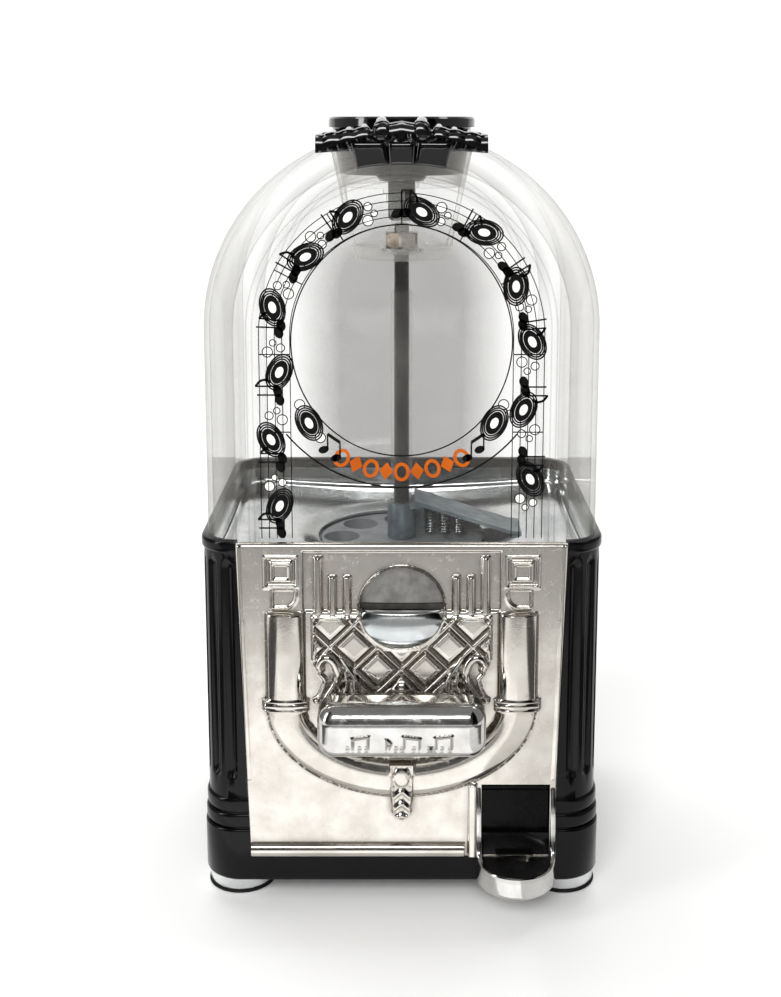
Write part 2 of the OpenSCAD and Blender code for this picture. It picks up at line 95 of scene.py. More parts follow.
def wall(outer: Array, inner: Array, keep: Optional[Array] = None, close_u: bool = False,
         close_v: bool = False, seam_v: bool = False) -> Surface:
    """A closed wall between two grids of the same shape, open where keep is false.

    Each kept cell gives an outer and an inner quad; each cell edge with no kept neighbour gets a
    quad that joins the two grids.

    Args:
        outer: array (nu, nv, 3).
        inner: array (nu, nv, 3).
        keep: booleans for the cells, or None for all of them.
        close_u: the grid is a ring along u.
        close_v: the grid is a ring along v.
        seam_v: the ends of v lie on a seam that merges with itself, so they get no rim.

    Returns:
        The closed surface.
    """
    nu, nv = outer.shape[:2]
    cu, cv = (nu if close_u else nu - 1), (nv if close_v else nv - 1)
    kept = np.ones((cu, cv), bool) if keep is None else keep
    iu, iv = np.nonzero(kept)
    ju, jv = (iu + 1) % nu, (iv + 1) % nv
    corner = [iu * nv + iv, ju * nv + iv, ju * nv + jv, iu * nv + jv]
    shift = nu * nv
    faces = [np.stack(corner, axis=1), np.stack(corner[::-1], axis=1) + shift]
    ring = np.pad(kept, 1)
    if close_u:
        ring[0, 1:-1], ring[-1, 1:-1] = kept[-1], kept[0]
    if close_v:
        ring[1:-1, 0], ring[1:-1, -1] = kept[:, -1], kept[:, 0]
    if seam_v:
        ring[:, 0] = ring[:, -1] = True
    beside = [ring[1:-1, :-2], ring[2:, 1:-1], ring[1:-1, 2:], ring[:-2, 1:-1]]
    for side, other in enumerate(beside):
        bare = ~other[iu, iv]
        a, b = corner[side][bare], corner[(side + 1) % 4][bare]
        faces.append(np.stack([b, a, a + shift, b + shift], axis=1))
    return Surface(np.concatenate([outer.reshape(-1, 3), inner.reshape(-1, 3)]), np.concatenate(faces))


def cap_ends(body: Surface, count: int, marks: Optional[dict] = None) -> Surface:
    """A tube of rings of count points each, closed by a flat cap at its first and last ring."""
    last = len(body.verts) - count
    return Surface(body.verts, body.quads, (tuple(range(count)), tuple(range(last, last + count))), marks)


def turned(points: Array, angle: float, x: float, z: float) -> Array:
    """Points of (x, z) turned by an angle in radians, then moved."""
    c, s = math.cos(angle), math.sin(angle)
    return np.column_stack([x + points[:, 0] * c - points[:, 1] * s, z + points[:, 0] * s + points[:, 1] * c])


def join(*parts: Surface) -> Surface:
    """One surface from several, kept as they are.

    Args:
        *parts: the surfaces; a mark that one of them lacks is 0 there.

    Returns:
        The joined surface.
    """
    verts, quads, caps, start = [], [], [], 0
    names = sorted({name for part in parts for name in (part.marks or {})})
    marks = {name: [] for name in names}
    for part in parts:
        verts.append(part.verts)
        quads.append(part.quads + start)
        caps.extend([tuple(int(i) + start for i in cap) for cap in part.caps])
        for name in names:
            blank = np.zeros(len(part.verts))
            marks[name].append((part.marks or {}).get(name, blank))
        start += len(part.verts)
    joined = {name: np.concatenate(rows) for name, rows in marks.items()}
    return Surface(np.concatenate(verts), np.concatenate(quads), tuple(caps), joined or None)


def revolve(profile: Sequence, centre: Sequence[float], steps: int = 96, axis: str = "Z") -> Surface:
    """A closed profile of (radius, height) turned once round an axis through centre.

    Args:
        profile: closed chain of (radius, height).
        centre: a point on the axis.
        steps: number of points round the turn.
        axis: X, Y or Z, along which the height runs.

    Returns:
        The closed ring.
    """
    ring = np.asarray(profile, float)
    turn = np.linspace(0.0, 2.0 * math.pi, steps, endpoint=False)[:, None]
    across, along = ring[None, :, 0], np.broadcast_to(ring[None, :, 1], (steps, len(ring)))
    first, second = across * np.cos(turn), across * np.sin(turn)
    order = {"Z": (first, second, along), "Y": (first, along, second), "X": (along, first, second)}
    points = np.stack(order[axis], axis=2) + np.asarray(centre, float)
    return skin(points, close_u=True, close_v=True)


def sweep(path: Array, section: Array, normal: Sequence[float], closed: bool = False,
          scale: Optional[Array] = None) -> Surface:
    """A flat closed section carried along a path.

    At each point the section's first axis is the path's direction crossed with normal, and its
    second axis is square to both.

    Args:
        path: array (n, 3).
        section: array (m, 2), the outline.
        normal: a direction that the path never runs along.
        closed: the path is a ring.
        scale: size of the section at each point, or None.

    Returns:
        The closed tube, with capped ends unless the path is a ring.
    """
    ahead = np.roll(path, -1, axis=0) - np.roll(path, 1, axis=0)
    if not closed:
        ahead[0], ahead[-1] = path[1] - path[0], path[-1] - path[-2]
    ahead /= np.linalg.norm(ahead, axis=1, keepdims=True)
    side = np.cross(ahead, np.asarray(normal, float))
    side /= np.linalg.norm(side, axis=1, keepdims=True)
    over = np.cross(side, ahead)
    size = np.ones(len(path)) if scale is None else scale
    grid = (path[:, None] + size[:, None, None] * (side[:, None] * section[None, :, :1]
                                                   + over[:, None] * section[None, :, 1:]))
    body = skin(grid, close_u=closed, close_v=True)
    return body if closed else cap_ends(body, len(section))


def circle(radius: float, count: int = 12, squash: float = 1.0) -> Array:
    """Outline of a circle, or of an ellipse whose second axis is squashed."""
    turn = np.linspace(0.0, 2.0 * math.pi, count, endpoint=False)
    return np.stack([radius * np.cos(turn), radius * squash * np.sin(turn)], axis=1)


def prism(outline: Array, front: float, back: float, plane: str = "XZ") -> Surface:
    """A flat outline made a slab between two depths, across Y for XZ and across X for YZ.

    Args:
        outline: array (n, 2).
        front: depth of one face.
        back: depth of the other.
        plane: XZ or YZ, the plane of the outline.

    Returns:
        The closed slab.
    """
    count = len(outline)
    rows = []
    for depth in (front, back):
        level = np.full(count, depth)
        order = ((outline[:, 0], level, outline[:, 1]) if plane == "XZ"
                 else (level, outline[:, 0], outline[:, 1]))
        rows.append(np.stack(order, axis=1))
    return cap_ends(skin(np.stack(rows), close_v=True), count)


def rounded(half_w: float, front: float, back: float, radius: float, per_corner: int = 12,
            per_side: int = 10) -> Array:
    """Plan outline of a rounded rectangle, counter-clockwise, with even points on its sides.

    Args:
        half_w: half the width in X.
        front: lowest Y.
        back: highest Y.
        radius: radius of the corners.
        per_corner: points on each corner.
        per_side: points between two corners.

    Returns:
        Array (n, 2) of points.
    """
    corners = [(half_w, back, 0.0), (-half_w, back, 90.0), (-half_w, front, 180.0), (half_w, front, 270.0)]
    arcs = []
    for x, y, start in corners:
        turn = np.radians(start + np.linspace(0.0, 90.0, per_corner))
        cx, cy = x - math.copysign(radius, x), y - (radius if y == back else -radius)
        arcs.append(np.stack([cx + radius * np.cos(turn), cy + radius * np.sin(turn)], axis=1))
    rows = []
    for here, ahead in zip(arcs, arcs[1:] + arcs[:1]):
        t = np.linspace(0.0, 1.0, per_side + 2)[1:-1, None]
        rows += [here, here[-1] * (1.0 - t) + ahead[0] * t]
    return np.concatenate(rows)


def close_back(work: bmesh.types.BMesh, depth: float) -> None:
    """Carries the open edges of a sheet back to a flat plane and fills it, openings left open.

    Args:
        work: the sheet, in metres.
        depth: Y of the plane, in metres.
    """
    rim = [edge for edge in work.edges if edge.is_boundary]
    made = bmesh.ops.extrude_edge_only(work, edges=rim)["geom"]
    for item in made:
        if isinstance(item, bmesh.types.BMVert):
            item.co.y = depth
    loops = [item for item in made if isinstance(item, bmesh.types.BMEdge) and item.is_boundary]
    bmesh.ops.triangle_fill(work, use_beauty=True, edges=loops)


def build(name: str, shape: Surface, finish: "Finish", body: str, node: Optional[str] = None,
          sharp: float = 38.0, back: Optional[float] = None) -> bpy.types.Object:
    """Puts a surface into a mesh object, dresses it and hangs it on its body.

    Args:
        name: the piece's name.
        shape: the surface, in millimetres.
        finish: the finish that makes its material.
        body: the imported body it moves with.
        node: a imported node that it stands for, or None.
        sharp: edges that bend more than this many degrees stay crisp.
        back: depth in millimetres of the flat back that closes an open sheet, or None.

    Returns:
        The finished object, at the origin.
    """
    mesh = bpy.data.meshes.new(name)
    faces = shape.quads.tolist() + [list(cap) for cap in shape.caps]
    mesh.from_pydata((shape.verts * MM).tolist(), [], faces)
    for label, values in (shape.marks or {}).items():
        layer = mesh.attributes.new(label, "FLOAT", "POINT")
        layer.data.foreach_set("value", np.ascontiguousarray(values, np.float32))
    work = bmesh.new()
    work.from_mesh(mesh)
    bmesh.ops.remove_doubles(work, verts=work.verts, dist=2e-6)
    bmesh.ops.dissolve_degenerate(work, edges=work.edges, dist=1e-6)
    loose = [vert for vert in work.verts if not vert.link_faces]
    bmesh.ops.delete(work, geom=loose, context="VERTS")
    if back is not None:
        close_back(work, back * MM)
    bmesh.ops.recalc_face_normals(work, faces=work.faces)
    work.to_mesh(mesh)
    work.free()
    mesh.shade_smooth()
    mesh.set_sharp_from_angle(angle=math.radians(sharp))
    piece = bpy.data.objects.new(name, mesh)
    bpy.context.scene.collection.objects.link(piece)
    mesh.materials.append(finish.material())
    if node:
        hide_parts(node)
    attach(piece, body)
    LOG.info("%s: %d faces on %s", name, len(mesh.polygons), body)
    return piece


# ---------------------------------------------------------------- finishes


def linear(code: str) -> tuple[float, float, float, float]:
    """An sRGB hex colour as linear light with full alpha."""
    parts = [int(code[i:i + 2], 16) / 255.0 for i in (1, 3, 5)]
    return (*[c / 12.92 if c <= 0.04045 else ((c + 0.055) / 1.055) ** 2.4 for c in parts], 1.0)


def per_mm(size: float) -> float:
    """Texture scale on Object coordinates for a feature of this many millimetres."""
    return 1.0 / (size * MM)


def add_node(tree: bpy.types.NodeTree, kind: str, inputs: Optional[dict] = None,
             **settings) -> bpy.types.Node:
    """Adds a node, sets its properties, and links or fills its sockets.

    Args:
        tree: the node tree.
        kind: the node's type name.
        inputs: socket name or index to a value or to an output socket.
        **settings: the node's own properties.

    Returns:
        The node.
    """
    node = tree.nodes.new(kind)
    for key, value in settings.items():
        setattr(node, key, value)
    for key, value in (inputs or {}).items():
        if isinstance(value, bpy.types.NodeSocket):
            tree.links.new(value, node.inputs[key])
        else:
            node.inputs[key].default_value = value
    return node


@dataclass(frozen=True)
class Finish:
    """A finish: two tones mixed by a mottle, a roughness range and a fine grain as bump."""

    name: str
    slot: str
    tone: str
    shade: str
    metal: float = 0.0
    rough: tuple[float, float] = (0.3, 0.4)
    mottle_mm: float = 9.0
    grain_mm: float = 0.5
    grain_depth: float = 0.02
    coat: float = 0.0
    coat_rough: float = 0.05
    scuff: float = 0.0
    # colour of the painted shade, which on the front plate also stands for the casting's patina
    grime: str = "#3a332b"
    stretch: tuple[float, float, float] = (1.0, 1.0, 1.0)
    ior: float = 1.5
    specular: float = 0.5

    def material(self) -> bpy.types.Material:
        """The finish's material, made once and shared.

        Returns:
            The material.
        """
        known = bpy.data.materials.get(self.name)
        if known:
            return known
        made = bpy.data.materials.new(self.name)
        made.use_nodes = True
        tree = made.node_tree
        tree.nodes.clear()
        shader = self.shader(tree)
        add_node(tree, "ShaderNodeOutputMaterial", {"Surface": shader.outputs[0]})
        return made

    def pattern(self, tree: bpy.types.NodeTree, size: float, detail: float = 4.0) -> bpy.types.NodeSocket:
        """A noise of a given feature size on Object coordinates, stretched as the finish says.

        Args:
            tree: the node tree.
            size: size of a feature, in millimetres.
            detail: how many finer layers it has.

        Returns:
            The socket of the noise, 0 to 1.
        """
        place = add_node(tree, "ShaderNodeTexCoord")
        placed = add_node(tree, "ShaderNodeMapping",
                          {"Vector": place.outputs["Object"], "Scale": self.stretch})
        noise = add_node(tree, "ShaderNodeTexNoise", {"Vector": placed.outputs[0], "Scale": per_mm(size),
                                                      "Detail": detail, "Roughness": 0.55})
        return noise.outputs["Fac"]

    def remap(self, tree: bpy.types.NodeTree, value: bpy.types.NodeSocket, source: tuple[float, float],
              target: tuple[float, float]) -> bpy.types.NodeSocket:
        """Carries a value from one range to another, clamped.

        Args:
            tree: the node tree.
            value: the socket to carry.
            source: the range it comes in.
            target: the range it leaves in.

        Returns:
            The socket of the new value.
        """
        return add_node(tree, "ShaderNodeMapRange",
                        {"Value": value, "From Min": source[0], "From Max": source[1],
                                                     "To Min": target[0], "To Max": target[1]}).outputs[0]

    def blend(self, tree: bpy.types.NodeTree, factor: bpy.types.NodeSocket, first: object,
              second: object) -> bpy.types.NodeSocket:
        """Mixes two colours by a factor."""
        return add_node(tree, "ShaderNodeMix", {0: factor, 6: first, 7: second}, data_type="RGBA").outputs[2]

    def shader(self, tree: bpy.types.NodeTree) -> bpy.types.Node:
        """The node that shades the finish; painted shade darkens the colour where the mesh marks it, and on
        the front plate the same mark also stands for patina.

        Args:
            tree: the node tree.

        Returns:
            The shader node.
        """
        mottle = self.remap(tree, self.pattern(tree, self.mottle_mm), (0.35, 0.65), (0.0, 1.0))
        grain = self.pattern(tree, self.grain_mm, 2.0)
        color = self.blend(tree, mottle, linear(self.tone), linear(self.shade))
        # painted shade: where the mesh marks it, the colour is darkened towards the shade colour; on the
        # front plate this also stands for patina in the hollows
        shade_and_patina_mask = add_node(tree, "ShaderNodeAttribute", attribute_name="grime")
        color = self.blend(tree, shade_and_patina_mask.outputs["Fac"], color, linear(self.grime))
        rough = self.remap(tree, mottle, (0.0, 1.0), self.rough)
        polish = add_node(tree, "ShaderNodeAttribute", attribute_name="polish")
        shine = self.remap(tree, polish.outputs["Fac"], (0.0, 1.0), (1.0, 0.45))
        rough = add_node(tree, "ShaderNodeMath", {0: rough, 1: shine}, operation="MULTIPLY").outputs[0]
        if self.scuff:
            streak = self.pattern(tree, self.mottle_mm * 0.22, 6.0)
            mark = self.remap(tree, streak, (0.58, 0.75), (0.0, self.scuff))
            rough = add_node(tree, "ShaderNodeMath", {0: rough, 1: mark}, operation="ADD",
                             use_clamp=True).outputs[0]
        bump = add_node(tree, "ShaderNodeBump", {"Height": grain, "Strength": 0.6,
                                                 "Distance": self.grain_depth * MM})
        settings = {"Base Color": color, "Roughness": rough, "Metallic": self.metal,
                    "Normal": bump.outputs[0], "Coat Weight": self.coat, "Coat Roughness": self.coat_rough}
        if self.metal < 1.0:
            settings["IOR"] = self.ior
            settings["Specular IOR Level"] = self.specular
        return add_node(tree, "ShaderNodeBsdfPrincipled", settings)


@dataclass(frozen=True)
class ClearFinish(Finish):
    """Clear moulded plastic: nearly invisible face on, pale and shiny where it is seen edge on."""

    face_alpha: float = 0.015
    edge_alpha: float = 0.62
    reach: float = 0.5

    def shader(self, tree: bpy.types.NodeTree) -> bpy.types.Node:
        """Alpha rises from the face value to the edge value with the viewing slant.

        Args:
            tree: the node tree.

        Returns:
            The shader node.
        """
        slant = add_node(tree, "ShaderNodeLayerWeight", {"Blend": self.reach}).outputs["Facing"]
        power = add_node(tree, "ShaderNodeMath", {0: slant, 1: 2.8}, operation="POWER").outputs[0]
        haze_and_painted_shade = self.remap(tree, self.pattern(tree, self.mottle_mm), (0.4, 0.7), (0.0, 0.03))
        alpha = self.remap(tree, power, (0.0, 1.0), (self.face_alpha, self.edge_alpha))
        alpha = add_node(tree, "ShaderNodeMath", {0: alpha, 1: haze_and_painted_shade}, operation="ADD",
                         use_clamp=True).outputs[0]
        # painted shade: the mesh's mark makes the plastic less clear and darkens it towards the shade colour
        veil = add_node(tree, "ShaderNodeAttribute", attribute_name="veil").outputs["Fac"]
        alpha = add_node(tree, "ShaderNodeMath", {0: alpha, 1: veil}, operation="ADD",
                         use_clamp=True).outputs[0]
        color = self.blend(tree, slant, linear(self.tone), linear(self.shade))
        color = self.blend(tree, self.remap(tree, veil, (0.0, 0.06), (0.0, 1.0)), color, linear(self.grime))
        bump = add_node(tree, "ShaderNodeBump", {"Height": self.pattern(tree, self.grain_mm, 1.0),
                                                 "Strength": 0.3, "Distance": self.grain_depth * MM})
        return add_node(tree, "ShaderNodeBsdfPrincipled", {
            "Base Color": color, "Roughness": self.rough[0], "IOR": self.ior, "Alpha": alpha,
            "Normal": bump.outputs[0], "Specular IOR Level": 0.5})


# ABS moulded against a polished steel tool: near black, sharp soft-box reflections, faint scuffs
BLACK_GLOSS = Finish("moulded_black_abs", "black_gloss", "#070708", "#040405", rough=(0.14, 0.22),
                     grain_mm=2.4, grain_depth=0.012, coat=0.05, coat_rough=0.06, scuff=0.10,
                     grime="#1a1715", specular=0.16)
# Die-cast zinc, tumbled and lacquered: warm silver, cloudy, rougher in hollows, with painted brown shade in
# hollows and on steep relief sides that also stands for patina
CAST_SATIN = Finish("die_cast_satin", "cast_metal", "#cfcbc4", "#bfbab2", metal=1.0, rough=(0.18, 0.27),
                    mottle_mm=11.0, grain_mm=0.55, grain_depth=0.018, scuff=0.14, grime="#5c5348")
# The same casting buffed where hands touch it: brighter and tighter reflections, with painted brown shade on
# the bar's notes and the tray's floor
CAST_BUFFED = Finish("die_cast_buffed", "cast_metal", "#d0cfcc", "#b4b3b0", metal=1.0, rough=(0.09, 0.16),
                     mottle_mm=14.0, grain_mm=1.4, grain_depth=0.014, scuff=0.14, grime="#4a3f33")
# Tin-plated sheet of the hopper and lip: mirror-like, cool and darker than the feet
TIN_SHEET = Finish("dulled_tin_plate", "bright_metal", "#d5d6d4", "#b4b8b9", metal=1.0, rough=(0.10, 0.18),
                   mottle_mm=26.0, grain_mm=3.0, grain_depth=0.02, scuff=0.10)
# The lid's ABS, buffed after moulding: black with clear white reflections of the lights
BLACK_LACQUER = Finish("buffed_black_abs", "black_gloss", "#060607", "#030304", rough=(0.07, 0.12),
                       grain_mm=3.0,
                       grain_depth=0.01, coat=0.6, coat_rough=0.04, scuff=0.05)
# Pressed steel with bright plating: mirror-like and slightly cool
PLATED = Finish("bright_plated_steel", "bright_metal", "#eceded", "#dcdedf", metal=1.0, rough=(0.22, 0.32),
                mottle_mm=16.0, grain_mm=3.0, grain_depth=0.02, scuff=0.10)
# Matt grey plate seen inside the coin recess
GREY_PLATE = Finish("dulled_grey_plate", "guard_grey", "#8b8986", "#6c6b69", metal=0.8, rough=(0.38, 0.52),
                    mottle_mm=5.0, grain_mm=0.35, grain_depth=0.02, scuff=0.2)
# Blue-grey enamel on the wiper guard
GREY_ENAMEL = Finish("grey_blue_enamel", "guard_grey", "#6b777c", "#525e65", metal=0.35, rough=(0.28, 0.4),
                     mottle_mm=6.0, grain_mm=0.8)
# Drawn steel rod: fine lines along its length, darker than the plated tray
STEEL_ROD = Finish("drawn_steel", "steel", "#1b1f22", "#121517", metal=1.0, rough=(0.14, 0.24), mottle_mm=7.0,
                   grain_mm=0.7, grain_depth=0.02, stretch=(1.0, 1.0, 0.08), scuff=0.15)
# Zinc-plated screws, pins and spring wire
ZINC = Finish("zinc_plated_steel", "steel", "#b9bcbd", "#94989b", metal=1.0, rough=(0.2, 0.32), mottle_mm=3.0)
# Old plating gone brown on the nut
AGED_NUT = Finish("dulled_nut", "aged_nut", "#9d9285", "#7b6f61", metal=0.85, rough=(0.32, 0.48),
                  mottle_mm=2.5)
# Brass stampings in the drive
BRASS = Finish("stamped_brass", "brass", "#c2a25c", "#a4853f", metal=1.0, rough=(0.24, 0.36), mottle_mm=5.0)
# Grey moulded plastic of the works
GREY_WORKS = Finish("moulded_grey", "grey_plastic", "#8d9092", "#7a7d80", rough=(0.4, 0.5), mottle_mm=8.0)
# Black glass-filled plastic of the bottom plate
BLACK_WORKS = Finish("moulded_black_satin", "black_plastic", "#1d1d1e", "#141415", rough=(0.42, 0.52))
# Rubber of the pads and the coin plug
RUBBER = Finish("black_rubber", "rubber_black", "#121212", "#0b0b0b", rough=(0.6, 0.75), grain_mm=0.5,
                grain_depth=0.03, specular=0.2)
# Glossy black door in the spout, with a little dust
FLAP_BLACK = Finish("glossy_black_flap", "flap_black", "#030304", "#060607", rough=(0.12, 0.3), mottle_mm=4.0,
                    scuff=0.3, specular=0.08)
# Clear styrene of the dome, slightly cream at its edges; its dark shade colour is painted on the back half
# and the step edges
CLEAR_DOME = ClearFinish("clear_styrene", "clear_plastic", "#e4e2dc", "#b9b5ac", rough=(0.04, 0.04),
                         mottle_mm=30.0,
                         grain_mm=18.0, grain_depth=0.05, ior=1.52, grime="#4a4642")
# The neck basket's thicker styrene, a touch greyer
CLEAR_NECK = ClearFinish("clear_neck_styrene", "clear_plastic", "#e9e8e2", "#b8b5ab", rough=(0.06, 0.06),
                         mottle_mm=12.0, grain_mm=6.0, grain_depth=0.05, face_alpha=0.10, edge_alpha=0.8)
# Screen-printed inks on the dome
INK_BLACK = Finish("black_ink", "black_gloss", "#050505", "#080808", rough=(0.5, 0.6), grain_mm=0.3,
                   specular=0.1)
INK_WHITE = Finish("white_ink", "clear_plastic", "#efeeea", "#e3e1da", rough=(0.4, 0.5), grain_mm=0.3)
INK_ORANGE = Finish("orange_ink", "clear_plastic", "#b4560a", "#a64c08", rough=(0.5, 0.6), grain_mm=0.3,
                    specular=0.1)


# ---------------------------------------------------------------- casing, lid and feet


class Body(Enum):
    """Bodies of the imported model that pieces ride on."""

    ROOT = "root"
    PUSH_BAR = "push_bar"
    FLAP = "flap"
    LID = "lid"


@dataclass
class BaseCasing:
    """Black moulded base: a box with fluted front corners on a stepped plinth, open at the front."""

    half_w: float = 76.3
    front: float = -55.0
    back: float = 76.0
    radius: float = 14.0
    shell: float = 2.5
    window_low: float = 21.0
    flute_low: float = 52.0
    flute_high: float = 139.0
    flute_radius: float = 2.6
    flute_sink: float = 1.0
    per_corner: int = 56
    per_side: int = 8

    def levels(self) -> Array:
        """Rows of (height, growth at the sides, growth at the front) from the plinth to the rim.

        Returns:
            Array (n, 3), lowest first.
        """
        steps = [(9.5, 0.7, 0.3), (9.9, 1.2, 0.6), (10.8, 1.5, 0.8), (29.6, 1.6, 0.8), (30.3, 1.5, 0.7),
                 (30.6, 1.1, 0.4), (30.7, 0.2, 0.0), (31.1, 0.2, 0.0), (31.2, 0.7, 0.2), (31.7, 1.15, 0.5),
                 (32.4, 1.3, 0.6), (35.6, 1.3, 0.6), (36.3, 1.15, 0.5), (36.8, 0.7, 0.2), (36.9, 0.1, 0.0),
                 (37.3, 0.1, 0.0), (37.4, 0.5, 0.1), (38.0, 0.8, 0.3), (38.6, 0.9, 0.4), (41.8, 0.9, 0.4),
                 (42.5, 0.8, 0.3), (43.0, 0.4, 0.1), (43.2, 0.0, 0.0), (47.0, 0.0, 0.0), (51.0, 0.0, 0.0)]
        flutes = [(z, 0.0, 0.0) for z in np.linspace(self.flute_low, self.flute_high, 60)]
        rim = [(140.5, 0.0, 0.0), (142.3, 0.0, 0.0), (142.5, 0.4, 0.1), (143.0, 0.7, 0.3), (143.6, 0.8, 0.4),
               (145.8, 0.8, 0.4), (146.6, 0.6, 0.3), (147.0, 0.1, 0.0)]
        return np.array(steps + flutes + rim)

    def flute_depth(self, angle: Array, height: Array) -> Array:
        """How far a front corner is pressed in: three round grooves with round ends.

        Args:
            angle: degrees round the corner.
            height: heights of the points.

        Returns:
            Depth of the grooves at each point.
        """
        depth = np.zeros(np.broadcast(angle, height).shape)
        for centre in (15.0, 45.0, 75.0):
            across = np.radians(angle - centre) * self.radius
            past = np.maximum(np.maximum(self.flute_low + 2.0 - height, height - self.flute_high + 2.0), 0.0)
            reach = np.hypot(across, past)
            groove = np.sqrt(np.maximum(self.flute_radius ** 2 - reach ** 2, 0.0)) - self.flute_sink
            depth = np.maximum(depth, np.maximum(groove, 0.0))
        return depth

    def plan(self, row: Array, inset: float) -> Array:
        """One level's outline; the front side's points follow the tapering front plate.

        Args:
            row: height, growth at the sides and growth at the front.
            inset: how far it is drawn in; 0 gives the outer outline, with its flutes.

        Returns:
            Array (n, 2) of points, counter-clockwise.
        """
        per_corner, per_side = self.per_corner, self.per_side
        height, side, ahead = row
        line = rounded(self.half_w + side - inset, self.front - ahead + inset * 1.35, self.back - inset,
                       self.radius - inset, per_corner, per_side)
        run = per_corner + per_side
        edge = min(FrontPlate.half_width(height) - 0.9, self.half_w - self.radius - 0.1)
        start = 3 * run - per_side
        line[start:start + per_side, 0] = np.linspace(-edge, edge, per_side)
        if inset:
            return line
        angles = np.linspace(0.0, 90.0, per_corner)
        for first, degrees, centre_x in ((2 * run, angles, -self.half_w + self.radius),
                                         (3 * run, 90.0 - angles, self.half_w - self.radius)):
            corner = slice(first, first + per_corner)
            centre = np.array([centre_x, self.front + self.radius])
            away = line[corner] - centre
            away /= np.linalg.norm(away, axis=1, keepdims=True)
            line[corner] -= away * self.flute_depth(degrees, np.full(per_corner, height))[:, None]
        return line

    def make(self) -> None:
        """Lofts the outer and inner outlines through the levels and opens the front window."""
        rows = self.levels()
        run = self.per_corner + self.per_side
        outer, inner = (np.stack([np.column_stack([self.plan(row, inset), np.full(4 * run, row[0])])
                                  for row in rows], axis=1) for inset in (0.0, self.shell))
        keep = np.ones((4 * run, len(rows) - 1), bool)
        front_side = slice(3 * run - self.per_side, 3 * run - 1)
        middle = (rows[1:, 0] + rows[:-1, 0]) / 2.0
        keep[front_side, middle > self.window_low] = False
        build("base_casing", wall(outer, inner, keep, close_u=True), BLACK_GLOSS, Body.ROOT.value,
              "base_shell", sharp=50.0)


@dataclass
class Feet:
    """Four plated discs on black rubber pads."""

    disc_radius: float = 12.9
    pad_radius: float = 13.4
    centres: tuple = ((-64.5, -36.0), (64.5, -36.0), (-64.5, 55.0), (64.5, 55.0))

    def make(self) -> None:
        """Turns both profiles once at each corner."""
        r, p = self.disc_radius, self.pad_radius
        disc = [(2.6, 9.5), (r - 1.2, 9.5), (r - 0.5, 9.2), (r, 8.6), (r, 1.7), (r - 0.2, 1.3),
                (r - 0.6, 1.15),
                (11.3, 1.15), (11.3, 2.55), (2.6, 2.55)]
        pad = [(3.4, 2.5), (11.2, 2.5), (11.2, 1.1), (p - 0.3, 1.1), (p, 0.8), (p, 0.3), (p - 0.4, 0.0),
               (p - 3.0, 0.0), (p - 3.6, 0.5), (5.6, 0.5), (5.0, 0.0), (3.4, 0.0)]
        for name, profile, finish, node in (("foot_discs_plated", disc, PLATED, "foot_discs"),
                                            ("foot_pads_rubber", pad, RUBBER, "foot_pads")):
            shape = join(*[revolve(profile, (x, y, 0.0), 64) for x, y in self.centres])
            build(name, shape, finish, Body.ROOT.value, node)


